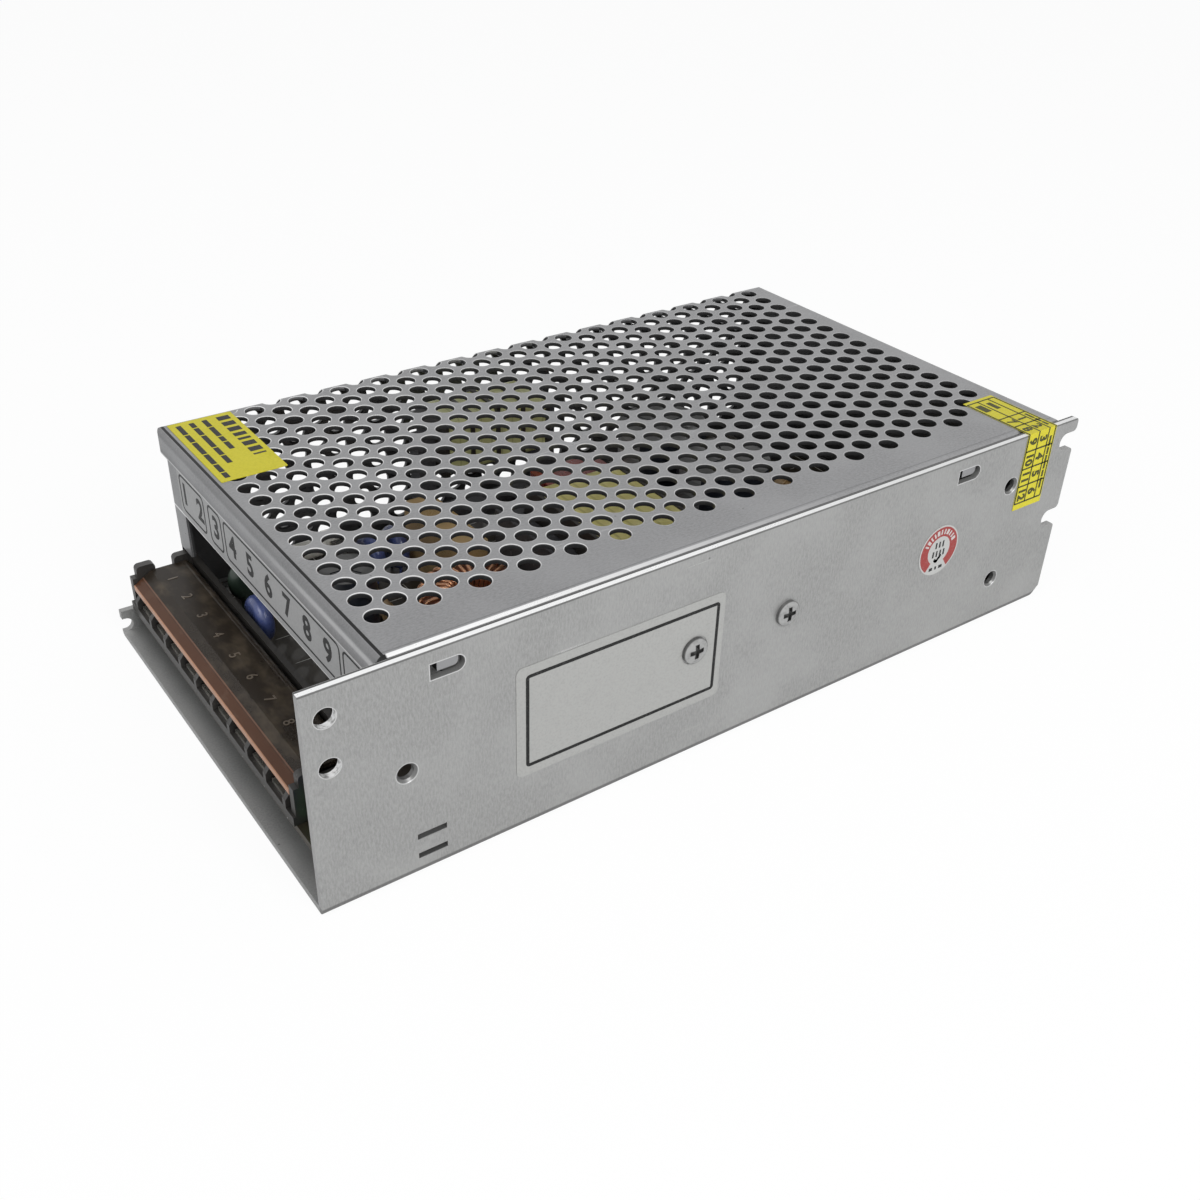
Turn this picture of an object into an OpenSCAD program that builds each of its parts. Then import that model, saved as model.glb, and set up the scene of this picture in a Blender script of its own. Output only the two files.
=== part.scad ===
// Enclosed mains power supply in a folded aluminium chassis with a perforated cover.
// Origin: centre of the underside. +X runs from the terminal end to the rear end,
// -Y is the plain wall that carries the spec label, +Z is up. Millimetres.

/* [Case] */
// Length of the chassis wall, terminal end to rear ears
body_l = 200; // [190:1:230]
// Width over the chassis wall and the cover
body_w = 110; // [106:1:130]
// Height of the case
body_h = 50; // [48:1:60]
// Thickness of the chassis sheet
chassis_t = 1.5; // [1.2:0.1:2]
// Outer radius of the chassis bends
chassis_bend = 1.2; // [0.6:0.1:1.2]
// Thickness of the cover sheet
cover_t = 1; // [0.8:0.1:1.2]
// Outer radius of the cover bends
cover_bend = 2; // [1.6:0.1:2.4]
// Gap between the cover and the chassis
sheet_gap = 0.2; // [0.1:0.05:0.3]
// Height of the low flange on the far side
far_flange_h = 7; // [6.5:0.5:9]
// Height of the flange at the rear
rear_flange_h = 9; // [8:0.5:12]
// Length of the wall that stays bare at the terminal end
terminal_bay = 16.9; // [16.5:0.1:20]
// Length of the mounting ears behind the rear panel
ear_l = 4.3; // [4:0.1:8]

/* [Cover] */
// Diameter of a perforation
perf_d = 4.5; // [3.5:0.1:4.8]
// Distance between perforations across the case
perf_pitch = 6.3; // [5.8:0.1:7]
// Distance between rows of perforations along the case
perf_row = 5.36; // [5:0.02:6]
// Front edge of the cover to the first row
perf_front = 4.7; // [4:0.1:8]
// Rear edge of the cover to the last row at most
perf_rear = 5; // [4:0.1:8]
// Chassis wall face to the first perforation
perf_side = 14.2; // [8:0.1:20]
// Rows that are missing from the corner over the near rear ear
perf_corner = 3; // [0:1:5]
// Underside of the label strip above the floor
strip_low = 30.4; // [29:0.2:34]
// Height of the brow over the label strip
brow_h = 6; // [5:0.1:7]
// How far the brow stands in front of the label strip
brow_out = 1.2; // [0.9:0.1:1.6]
// Width of the leg at the far end of the strip
leg_w = 8.5; // [6:0.5:12]
// Depth of the flange inside the chassis wall
near_flange_h = 8.5; // [7.5:0.5:12]

/* [Mounting] */
// Width of the slots in the rear ears
ear_slot_w = 4.4; // [4.2:0.1:5]
// Depth of the slots in the rear ears
ear_slot_l = 5.4; // [4:0.1:8]
// Distance of the upper ear slot from the top
ear_slot_top = 5.6; // [5:0.2:8]
// Distance between the ear slots
ear_slot_step = 20.8; // [16:0.2:24]
// Radius on the tips of the ears
ear_round = 1.1; // [0.4:0.1:1.2]
// Chamfer under the lowest ear
ear_chamfer = 3; // [1:0.5:5]
// Diameter of the two plain holes at the terminal end
plain_hole_d = 4.2; // [4:0.1:5]
// Distance of the plain holes from the terminal end
plain_hole_x = 4.4; // [4:0.1:6]
// Distance of the upper plain hole from the top
plain_hole_top = 6.2; // [5:0.2:8]
// Distance between the plain holes
plain_hole_step = 10.7; // [8:0.1:12]
// Core diameter of the tapped M4 holes
tapped_d = 3.3; // [3.2:0.1:3.4]
// Width of the countersink at the tapped holes
sink_d = 4.4; // [4:0.1:5]
// Distance of the front tapped hole from the terminal end
side_tap_front = 18.7; // [18:0.1:30]
// Height of the front tapped hole
side_tap_front_z = 25.2; // [20:0.2:30]
// Distance of the rear tapped holes from the rear end
side_tap_rear = 21; // [16:0.5:30]
// Height of the lower rear tapped hole
side_tap_rear_low = 11.9; // [11:0.1:16]
// Distance of the upper rear tapped hole from the top
side_tap_rear_top = 12.5; // [11:0.1:16]
// Length of the pattern of tapped holes underneath
base_tap_l = 150; // [140:1:160]
// Width of the pattern of tapped holes underneath
base_tap_w = 50; // [40:1:60]

/* [Terminals] */
// Width kept free beside the screw terminals
terminal_room = 28; // [26:0.5:34]
// Distance between terminals
pole_pitch = 9.1; // [8.9:0.1:9.2]
// Thickness of the walls between terminals
pole_wall = 1.4; // [1.2:0.1:1.6]
// Depth of the terminal block, front to rear
block_d = 16.5; // [16:0.1:18]
// Thickness of the block's end ears
block_ear = 2; // [1.6:0.1:2.6]
// Room between the last terminal and the ear
block_spare = 2; // [1.8:0.1:3]
// Height of the walls above the circuit board
pole_wall_h = 8.3; // [8:0.1:8.6]
// Height of the bumps on the end ears above the circuit board
block_bump_h = 11.5; // [11.3:0.1:12.5]
// Thickness of the block's floor
block_floor = 2.1; // [1.8:0.1:2.4]
// Thickness of a contact plate
contact_t = 0.8; // [0.6:0.1:0.9]
// Thickness of a wire clamp
clamp_t = 0.8; // [0.6:0.1:1]
// Diameter of a terminal screw's head
pole_head_d = 6; // [5.4:0.1:6.4]
// Height of a terminal screw's head
pole_head_h = 2.2; // [1.8:0.1:2.6]
// Diameter of a terminal screw's shank
pole_shank_d = 3.4; // [3:0.1:3.6]

/* [Terminal cover] */
// Thickness of the clear cover
lid_t = 1; // [0.8:0.1:1.2]
// Height of the hinge above the circuit board
hinge_h = 8.9; // [8.8:0.1:9.4]
// Radius of the hinge barrel
barrel_r = 1.2; // [1.1:0.1:1.3]
// Distance of the hinge from the back of the block
hinge_back = 3.5; // [3.2:0.1:3.8]
// Radius of the hinge pins
pin_r = 0.8; // [0.7:0.05:0.9]
// Clearance of a turning fit, on the radius
run_gap = 0.07; // [0.03:0.01:0.1]
// Side play of the clear cover
lid_play = 0.3; // [0.2:0.05:0.4]
// Length of the sloping front of the clear cover, front to rear
flap_l = 4.4; // [4:0.1:4.6]
// Drop of the sloping front
flap_drop = 2.8; // [2.6:0.1:3]

/* [Circuit board] */
// Thickness of the circuit board
board_t = 1.6; // [1.2:0.1:2]
// Height of the stand-offs
standoff_h = 4; // [3.5:0.1:5]
// Width of a stand-off across its flats
standoff_af = 5.5; // [5:0.1:6]
// Diameter of the machine screws
screw_d = 3; // [2.9:0.1:3.1]
// Diameter of the pan heads
head_d = 6; // [5.4:0.1:6.2]
// Height of the pan heads
head_h = 1.2; // [1:0.1:2.2]
// Play of a screw in a clearance hole, on the radius
screw_play = 0.2; // [0.1:0.05:0.3]
// Thickness of the insulating film on the floor
film_t = 0.25; // [0.2:0.05:0.4]

/* [Wall devices] */
// Thickness of the insulating pad on the chassis wall
pad_t = 0.4; // [0.3:0.1:0.6]
// Width of a power device
device_w = 15.6; // [15:0.2:16]
// Thickness of a power device
device_t = 4.8; // [4.4:0.1:5]
// Height of a power device
device_h = 20; // [18:0.5:20]
// Distance between power devices
device_step = 25.3; // [24.6:0.1:28]
// Thickness of the clamp bar
bar_t = 2; // [1.5:0.1:3]
// Height of the clamp bar
bar_h = 9; // [8:0.5:11]
// Distance of the screws through the chassis wall from the top
wall_screw_top = 23; // [21:0.2:25]

/* [Magnetics] */
// Length of the main transformer's core
main_l = 34; // [32:0.5:36]
// Width of the main transformer's core
main_w = 42; // [40:0.5:43]
// Thickness of the main transformer's core
main_t = 13; // [11:0.5:14]
// Outer diameter of the output choke's core
ring_d = 24; // [22:0.5:24.5]
// Hole of the output choke's core
ring_hole = 12; // [11:0.5:13]
// Height of the output choke's core
ring_h = 14.5; // [12:0.5:15]
// Thickness of the copper wire on the output choke
ring_wire = 2; // [1.6:0.1:2.2]
// Turns on the output choke
ring_turns = 18; // [16:1:19]
// Length of the line choke
line_l = 40; // [36:0.5:41]
// Width of the line choke's coil
line_w = 15; // [13:0.5:16]
// Height of the line choke's coil
line_h = 16; // [14:0.5:17]
// Width of the drive transformer
drive_w = 16; // [14:0.5:18]
// Height of the drive transformer
drive_h = 17; // [14:0.5:20]

/* [Capacitors] */
// Diameter of the input capacitors
bulk_d = 22; // [18:0.5:22]
// Height of the input capacitors
bulk_h = 33; // [30:0.5:36]
// Diameter of the output capacitors
output_d = 12.5; // [10:0.5:13]
// Height of the output capacitors
output_h = 26; // [20:0.5:30]
// Diameter of the safety capacitors
disc_d = 11; // [9:0.5:12]

/* [Labels] */
// Thickness of a label
label_t = 0.12; // [0.1:0.01:0.2]
// Length of the spec label
spec_l = 50; // [46:0.5:52]
// Height of the spec label
spec_h = 25.8; // [22:0.2:27]
// Diameter of the round seal
seal_d = 12.8; // [10:0.2:15]
// Length of the yellow top label across the case
top_label_l = 32; // [28:0.5:36]
// Width of the yellow top label
top_label_w = 14.8; // [12:0.2:16]
// Width of the dated seal
dated_w = 10; // [8:0.5:10.5]
// Length of the dated seal on the cover
dated_top = 20; // [12:0.5:24]
// Length of the dated seal on the wall
dated_side = 20; // [14:0.5:24]

/* [Hidden] */
$fn = 48;
EPS = 0.01;
OVER = 1;
FIT = 0.05;
AIR = 0.3;

x_front = -body_l / 2;
x_end = body_l / 2;
x_rear = x_end - ear_l;
x_lip = x_front + terminal_bay;
x_brow = x_lip - brow_out;
y_near = -body_w / 2;
y_far = body_w / 2;
y_wall = y_near + chassis_t;
y_flange = y_far - cover_t - sheet_gap;
z_top = body_h;
z_floor = chassis_t;

// Sheet cover
y_skirt = y_wall + sheet_gap;
z_brow = z_top - brow_h;
skirt_low = z_top - near_flange_h;
slot_floor_z = skirt_low + 2;
relief_r = 1.9;
solid_rows = 3;
tab_slot_h = 3.3;
tab_slot_l = 7;
tab_l = 4.3;
tab_shift = 0.35;
tab_low = 1;
tab_h = tab_slot_h - tab_low - AIR;
tab_round = 1;
tab_hold = 0.4;
tab_window = 1.4;
tab_reach = chassis_t * 0.55;
tab_front_x = x_front + 27.8;
tab_rear_x = x_end - 37.4;
lance_l = 6.2;
lance_h = 1.3;
lance_front = 23.1;
lance_x = x_front + lance_front;
lance_zs = [4.4, 9.1];
bend_mid = cover_bend - cover_t / 2;
bend_arc = bend_mid * PI / 2;
y_bend = y_far - cover_bend;
z_bend = z_top - cover_bend;
perf_x0 = x_lip + perf_front;
perf_y0 = y_near + perf_side;
perf_rows = floor((x_rear - perf_rear - perf_x0) / perf_row) + 1;
perf_step = perf_pitch / 2;
perf_low = far_flange_h + perf_d / 2 + 0.5;
perf_path = (y_bend - perf_y0) + bend_arc + (z_bend - perf_low);
perf_cols = floor(perf_path / perf_step) + 1;

// Screws
screw_r = screw_d / 2;
cover_screw_z = far_flange_h - head_d / 2 - 0.3;
rear_screw_z = rear_flange_h - head_d / 2 - 0.5;
far_screw_x = 60;
rear_screw_y = 35;
screw_reach = cover_t + sheet_gap + chassis_t + 0.9;
recess_w = 0.9;
recess_l = 3.4;
recess_share = 0.62;
head_drop = 0.42;

// Circuit board
z_board = z_floor + standoff_h + board_t;
board_edge = 1;
board_x0 = x_front + 3.5;
board_x1 = x_rear - cover_t - sheet_gap - chassis_t - 1.2;
board_y0 = y_wall + board_edge;
board_y1 = y_flange - chassis_t - board_edge / 2;
hole_in = 7;
standoff_xs = [x_lip + 6.6, x_lip + 101.6, x_rear - 9];
standoff_pts = [for (x = standoff_xs, y = [board_y0 + hole_in - 1, board_y1 - 4]) [x, y]];
clinch_r = standoff_af / 2 - 0.4;

// Terminal block
block_x0 = x_front + 3;
block_x1 = block_x0 + block_d;
poles = floor((body_w - terminal_room) / pole_pitch);
block_run = poles * pole_pitch;
block_half = block_run / 2 + block_spare + block_ear;
block_y = board_y1 + 0.5 - block_half;
pole_ys = [for (i = [0:poles - 1]) block_y - block_run / 2 + (i + 0.5) * pole_pitch];
pole_x = block_x0 + 7.4;
wall_ys = [for (i = [0:poles]) block_y - block_run / 2 + i * pole_pitch];
z_contact = z_board + block_floor;
z_clamp = z_contact + contact_t;
z_head = z_clamp + clamp_t;
back_t = 1.4;
hinge_x = block_x1 - hinge_back;
hinge_z = z_board + hinge_h;
lid_in = hinge_z + barrel_r - lid_t - 0.1;
lid_half = block_half - block_ear - lid_play;
flap_x = block_x0 + 5;
contact_w = pole_pitch - pole_wall - 0.7;
clamp_w = contact_w - 0.3;

// Adjuster and lamp
trim_w = 7;
trim_h = 5.5;
trim_x = block_x0 + 6;
trim_y = board_y0 + 6;
rotor_r = 2.2;
rotor_h = 1.9;
rotor_sink = 1.4;
lamp_r = 1.5;
lamp_x = block_x0 + 4;
lamp_y = block_y - block_half - 2.6;
lamp_h = 6;

// Devices on the wall
y_pad = y_wall + pad_t;
y_bar = y_pad + device_t;
wall_screw_z = z_top - wall_screw_top;
wall_mid = x_front + 97;
device_xs = [for (i = [-1:1]) wall_mid + i * device_step * 0.89];
wall_screw_xs = [wall_mid - device_step / 2, wall_mid + device_step / 2];
device_z = wall_screw_z - device_h * 0.45;
bar_l = 2.1 * device_step + device_w * 0.5;
tab_hole_r = 1.8;

// Magnetics
main_leg = 4.6;
main_rise = 13.3;
main_x = x_lip + 75.4;
main_y = y_near + 41;
main_z = z_board + 19.6;
ring_x = main_x - main_l / 2 - AIR - ring_wire - ring_d / 2;
ring_y = main_y + 5.8;
line_y = y_flange - chassis_t - 2.8 - line_w / 2;
line_x = main_x + 1.2;
line_leg = 4.6;
line_z = z_board + 28.4;
bulk_x = main_x + main_l / 2 + bulk_d / 2 + 7;
drive_rear = 38.7;
drive_x = max(x_rear - drive_rear, bulk_x + bulk_d / 2 + drive_w / 2 + 1.5);
drive_y = 13;

// Waste to round a convex edge that runs along X, at the origin, towards +Y +Z
module edge_round(r, l) {
    rotate([90, 0, 90]) linear_extrude(l) difference() {
        translate([-OVER, -OVER]) square(r + OVER);
        translate([r, r]) circle(r);
        translate([r, -OVER - 1]) square(2 * OVER + r);
        translate([-OVER - 1, r]) square(2 * OVER + r);
    }
}

// Rectangle with round corners, from its lower left corner
module round_rect(w, h, r) {
    translate([r, 0]) square([w - 2 * r, h]);
    translate([0, r]) square([w, h - 2 * r]);
    for (x = [r, w - r], y = [r, h - r]) translate([x, y]) circle(r);
}

module round_box(size, r) {
    linear_extrude(size[2]) round_rect(size[0], size[1], r);
}

// Drawing in X and Z, made solid from y0 towards +Y
module slab_xz(y0, t) {
    translate([0, y0 + t, 0]) rotate([90, 0, 0]) linear_extrude(t) children();
}

// Hole or bar along Y, from y0 towards +Y
module rod_y(x, y0, z, r, l) {
    translate([x, y0 + l, z]) rotate([90, 0, 0]) cylinder(r = r, h = l);
}

// Pan head screw: the head stands on z = 0 and the shank hangs below
module pan_screw(shank_r, shank_l, head_r, high) {
    drop = high * head_drop;
    dome = (head_r * head_r + drop * drop) / (2 * drop);
    recess = high * recess_share;
    difference() {
        intersection() {
            cylinder(r = head_r, h = high);
            translate([0, 0, high - dome]) sphere(r = dome, $fn = 96);
        }
        for (a = [0, 90]) rotate([0, 0, a])
            translate([-recess_l / 2, -recess_w / 2, high - recess]) cube([recess_l, recess_w, recess + OVER]);
    }
    translate([0, 0, -shank_l]) cylinder(r = shank_r, h = shank_l + EPS);
}

// Tapped hole along Z with a countersink at z = 0, going up
module tapped_hole(l) {
    translate([0, 0, -OVER]) cylinder(d = tapped_d, h = l + 2 * OVER);
    translate([0, 0, -EPS]) cylinder(d1 = sink_d, d2 = tapped_d, h = (sink_d - tapped_d) / 2);
}

// Box with two wire legs under it that end on the board
module legged_box(size, r, legs, lift, leg_r = 0.4) {
    translate([-size[0] / 2, -size[1] / 2, z_board + lift]) round_box(size, r);
    for (x = [-legs / 2, legs / 2])
        translate([x, 0, z_board]) cylinder(r = leg_r, h = lift + EPS);
}

// Standing can with a rolled groove near its foot
module can(d, h) {
    groove = 0.35;
    difference() {
        cylinder(d = d, h = h);
        translate([0, 0, 2.6]) rotate_extrude()
            translate([d / 2 + 0.5, 0]) circle(r = 0.5 + groove, $fn = 24);
        for (a = [0, 60, 120]) rotate([0, 0, a])
            translate([-d * 0.3, -0.2, h - 0.3]) cube([d * 0.6, 0.4, 1]);
    }
}

// Outline of the chassis wall in X and Z
module wall_outline() {
    slot_r = ear_slot_w / 2;
    ear_slot_high = z_top - ear_slot_top;
    ear_slot_low = ear_slot_high - ear_slot_step;
    slot_x = x_end - ear_slot_l + slot_r;
    cuts = [ear_slot_low, ear_slot_high];
    lows = [0, ear_slot_low + slot_r, ear_slot_high + slot_r];
    highs = [ear_slot_low - slot_r, ear_slot_high - slot_r, z_top];
    difference() {
        union() {
            translate([x_front, 0]) square([slot_x - x_front, z_top]);
            for (i = [0:2]) translate([slot_x - 2 * ear_round - 2, lows[i]])
                round_rect(x_end - slot_x + 2 * ear_round + 2, highs[i] - lows[i],
                    min(ear_round, (highs[i] - lows[i]) / 2 - EPS));
        }
        for (z = cuts) {
            translate([slot_x, z]) circle(slot_r);
            translate([slot_x, z - slot_r]) square([ear_slot_l, ear_slot_w]);
        }
        translate([x_end, 0]) rotate(45)
            square(ear_chamfer * sqrt(2), center = true);
    }
}

// Cover tab slot: square at the front, round at the rear
module tab_slot(l, h) {
    translate([-l / 2, 0]) square([l - h / 2, h]);
    translate([l / 2 - h / 2, h / 2]) circle(h / 2);
}

module chassis() {
    floor_l = board_x1 + 1.2 + chassis_t - x_front;
    color("silver") difference() {
        union() {
            slab_xz(y_near, chassis_t) wall_outline();
            translate([x_front, y_near + chassis_t - EPS, 0])
                cube([floor_l, y_flange - y_near - chassis_t + EPS, chassis_t]);
            translate([x_front, y_flange - chassis_t, 0])
                cube([floor_l, chassis_t, far_flange_h]);
            translate([x_front + floor_l - chassis_t, y_near + 10, 0])
                cube([chassis_t, y_flange - y_near - 20, rear_flange_h]);
        }
        translate([x_front - OVER, y_near, 0]) edge_round(chassis_bend, body_l + 2 * OVER);
        translate([x_front - OVER, y_flange, 0]) mirror([0, 1, 0])
            edge_round(chassis_bend, body_l + 2 * OVER);
        // Reliefs at the rear corners of the folds
        translate([x_front + floor_l, y_flange, -OVER])
            cylinder(r = relief_r, h = rear_flange_h + 2 * OVER);
        translate([x_front + floor_l, y_wall + relief_r, -OVER])
            cylinder(r = relief_r, h = chassis_t + 2 * OVER);
        // Relief notch at the front of the far flange
        rod_y(x_front + 0.7, y_flange - chassis_t - OVER, chassis_t + 1.7, 1.7, chassis_t + 2 * OVER);
        translate([x_front - OVER, y_flange - chassis_t - OVER, chassis_t + EPS])
            cube([OVER + 0.7, chassis_t + 2 * OVER, 3.4]);
        for (x = [tab_front_x, tab_rear_x]) slab_xz(y_near - OVER, chassis_t + 2 * OVER)
            translate([x, slot_floor_z]) tab_slot(tab_slot_l, tab_slot_h);
        for (z = lance_zs) slab_xz(y_near - OVER, chassis_t + 2 * OVER)
            translate([lance_x - lance_l / 2, z - lance_h / 2]) square([lance_l, lance_h]);
        for (i = [0, 1]) rod_y(x_front + plain_hole_x, y_near - OVER,
            z_top - plain_hole_top - i * plain_hole_step, plain_hole_d / 2, chassis_t + 2 * OVER);
        for (p = [[x_front + side_tap_front, side_tap_front_z],
            [x_end - side_tap_rear, side_tap_rear_low], [x_end - side_tap_rear, z_top - side_tap_rear_top]])
            translate([p[0], y_near, p[1]]) rotate([-90, 0, 0]) tapped_hole(chassis_t);
        for (x = [-base_tap_l / 2, base_tap_l / 2], y = [-base_tap_w / 2, base_tap_w / 2])
            translate([x, y, 0]) tapped_hole(chassis_t);
        for (x = wall_screw_xs) rod_y(x, y_near - OVER, wall_screw_z,
            screw_r + screw_play, chassis_t + 2 * OVER);
        for (x = [-far_screw_x, far_screw_x]) rod_y(x, y_flange - chassis_t - OVER,
            cover_screw_z, screw_r + FIT, chassis_t + 2 * OVER);
        for (y = [-rear_screw_y, rear_screw_y])
            translate([board_x1, y, rear_screw_z]) rotate([0, 90, 0])
                cylinder(r = screw_r + FIT, h = chassis_t + 3);
        for (p = standoff_pts) translate([p[0], p[1], -OVER])
            cylinder(r = clinch_r + FIT, h = chassis_t + 2 * OVER);
    }
}

// Closed box with round top, front, far and rear edges, its foot at z0
module cover_body(x0, inset, z0) {
    r = cover_bend - inset;
    l = x_rear - x0 - 2 * inset;
    w = y_far - y_skirt - 2 * inset;
    h = z_top - inset - z0;
    intersection() {
        translate([x0 + inset, y_skirt + inset, z0]) round_box([l, w, h], r);
        translate([x0 + inset, 0, z0]) rotate([90, 0, 90]) linear_extrude(l)
            translate([y_skirt + inset, -r]) round_rect(w, h + r, r);
        translate([0, y_far, z0]) rotate([90, 0, 0]) linear_extrude(body_w)
            translate([x0 + inset, -r]) round_rect(l, h + r, r);
    }
}

// Cover tab, round at its lower rear corner
module tab_outline(l, h, r) {
    square([l - r, h]);
    translate([0, r]) square([l, h - r]);
    translate([l - r, r]) circle(r);
}

// One perforation at arc position s, measured from the first column
module perforation(s) {
    flat = y_bend - perf_y0;
    r = perf_d / 2;
    if (s <= flat) translate([0, perf_y0 + s, z_top - cover_t - OVER])
        cylinder(r = r, h = cover_t + 2 * OVER, $fn = 32);
    else if (s < flat + bend_arc) translate([0, y_bend, z_bend])
        rotate([-(s - flat) / bend_arc * 90, 0, 0])
            cylinder(r = r, h = cover_bend + OVER, $fn = 32);
    else translate([0, y_far + OVER, z_bend - (s - flat - bend_arc)])
        rotate([90, 0, 0]) cylinder(r = r, h = cover_t + 2 * OVER, $fn = 32);
}

module mesh_cover() {
    leg_low = z_board + block_bump_h + AIR + 0.5;
    color("gainsboro") {
        difference() {
            union() {
                cover_body(x_lip, 0, 0);
                cover_body(x_brow, 0, z_brow);
            }
            cover_body(x_lip, cover_t, -OVER);
            cover_body(x_brow, cover_t, z_brow + cover_t);
            // Open foot of the far side and of the rear panel
            translate([x_lip - OVER, y_skirt - OVER, -OVER])
                cube([body_l, body_w + 2 * OVER, OVER + sheet_gap]);
            // Only a short flange goes down inside the chassis wall
            translate([x_lip - OVER, y_skirt - OVER, -OVER])
                cube([x_rear - x_lip - cover_t + OVER, cover_t + 2 * OVER, skirt_low + OVER]);
            // Terminal bay under the strip, beside the leg
            translate([x_lip - OVER, y_skirt - OVER, -OVER])
                cube([cover_t + 2 * OVER, y_far - leg_w - y_skirt + OVER, strip_low + OVER]);
            translate([x_lip - OVER, y_skirt, -OVER])
                cube([cover_t + 2 * OVER, y_far - cover_t - y_skirt, leg_low + OVER]);
            // Corner relief beside the wall
            translate([x_brow - OVER, y_skirt - OVER, z_brow - OVER])
                cube([OVER + cover_t + brow_out + 0.4, OVER + 1.7, brow_h - cover_t - 0.2 + OVER]);
            for (i = [0:perf_rows - 1], j = [i % 2:2:perf_cols - 1])
                if (i - j < perf_rows - perf_corner
                    && (i >= solid_rows || j * perf_step <= y_bend - perf_y0))
                    translate([perf_x0 + i * perf_row, 0, 0]) perforation(j * perf_step);
            for (x = [-far_screw_x, far_screw_x]) rod_y(x, y_far - cover_t - OVER,
                cover_screw_z, screw_r + screw_play, cover_t + 2 * OVER);
            for (y = [-rear_screw_y, rear_screw_y])
                translate([x_rear - cover_t - OVER, y, rear_screw_z]) rotate([0, 90, 0])
                    cylinder(r = screw_r + screw_play, h = cover_t + 2 * OVER);
            // Windows in the flange, out of which the tabs are bent
            for (x = [tab_front_x, tab_rear_x]) translate([x + tab_shift - tab_l / 2 - tab_window,
                y_skirt - OVER, slot_floor_z - tab_window * 0.7])
                cube([tab_l + 2 * tab_window, cover_t + 2 * OVER,
                    tab_low + tab_h - tab_hold + tab_window * 0.7]);
        }
        // Tabs that hook into the wall's slots
        for (x = [tab_front_x, tab_rear_x]) slab_xz(y_wall - tab_reach, tab_reach + sheet_gap + cover_t)
            translate([x + tab_shift - tab_l / 2, slot_floor_z + tab_low])
                tab_outline(tab_l, tab_h, tab_round);
    }
}

module cover_screws() {
    reach = screw_reach;
    color("lightgrey") {
        for (x = [-far_screw_x, far_screw_x]) translate([x, y_far, cover_screw_z])
            rotate([-90, 0, 0]) pan_screw(screw_r, reach, head_d / 2, head_h);
        for (y = [-rear_screw_y, rear_screw_y]) translate([x_rear, y, rear_screw_z])
            rotate([0, 90, 0]) pan_screw(screw_r, reach, head_d / 2, head_h);
    }
}

module insulating_film() {
    color("whitesmoke") difference() {
        translate([board_x0 + 2, board_y0 + 1, z_floor])
            cube([board_x1 - board_x0 - 3, board_y1 - board_y0 - 2, film_t]);
        for (p = standoff_pts) translate([p[0], p[1], 0])
            cylinder(r = standoff_af / 2 + 1, h = z_floor + 2);
        for (x = [-base_tap_l / 2, base_tap_l / 2], y = [-base_tap_w / 2, base_tap_w / 2])
            translate([x, y, 0]) cylinder(d = tapped_d + 3, h = z_floor + 2);
    }
}

module board_standoffs() {
    color("goldenrod") for (p = standoff_pts) translate([p[0], p[1], 0]) difference() {
        union() {
            translate([0, 0, z_floor]) cylinder(d = standoff_af / cos(30), h = standoff_h, $fn = 6);
            cylinder(r = clinch_r, h = z_floor + EPS);
        }
        translate([0, 0, z_floor + 0.4]) cylinder(r = screw_r + FIT, h = standoff_h + OVER);
    }
}

module circuit_board() {
    color("peru") difference() {
        translate([board_x0, board_y0, z_floor + standoff_h])
            cube([board_x1 - board_x0, board_y1 - board_y0, board_t]);
        for (p = standoff_pts) translate([p[0], p[1], 0])
            cylinder(r = screw_r + screw_play, h = z_board + 2);
    }
}

module board_screws() {
    color("silver") for (p = standoff_pts) translate([p[0], p[1], z_board])
        pan_screw(screw_r, board_t + standoff_h - 1.2, head_d / 2, head_h);
}

// Side view of the block's end ear, with its two bumps
module ear_outline() {
    bump = 2;
    translate([block_x0 + 0.6, z_board]) square([block_d - 0.6, pole_wall_h + 0.4]);
    translate([block_x0 + 1.8, z_board]) round_rect(4.4, block_bump_h, bump / 2);
    translate([hinge_x - 2.3, z_board]) round_rect(block_x1 - hinge_x + 2.3, block_bump_h, bump / 2);
}

module terminal_block() {
    front = block_x0;
    wall_top = z_board + pole_wall_h;
    color([0.1, 0.1, 0.11]) difference() {
        union() {
            translate([front, block_y - block_half, z_board])
                cube([block_d, 2 * block_half, block_floor]);
            for (y = wall_ys) slab_xz(y - pole_wall / 2, pole_wall) polygon([
                [front, z_board], [front, z_board + 3.9], [front + 1.5, z_board + 5.9],
                [front + 4.5, wall_top], [hinge_x - barrel_r - 1.1, wall_top],
                [hinge_x - barrel_r - 0.5, hinge_z - barrel_r - 0.9],
                [block_x1, hinge_z - barrel_r - 0.9], [block_x1, z_board]]);
            for (y = [block_y - block_half, block_y + block_half - block_ear])
                slab_xz(y, block_ear) ear_outline();
            translate([block_x1 - back_t, block_y - block_half, z_board])
                cube([back_t, 2 * block_half, block_bump_h - 1.6]);
        }
        for (y = pole_ys) {
            translate([pole_x, y, z_board - OVER])
                cylinder(r = pole_shank_d / 2 + screw_play, h = block_floor + 2 * OVER);
            translate([hinge_x - 0.9, y - contact_w / 2 - FIT, z_board - OVER])
                cube([contact_t + 2 * FIT, contact_w + 2 * FIT, block_floor + 2 * OVER]);
        }
        rod_y(hinge_x, block_y - block_half - OVER, hinge_z, pin_r + run_gap,
            2 * (block_half + OVER));
    }
}

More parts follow.
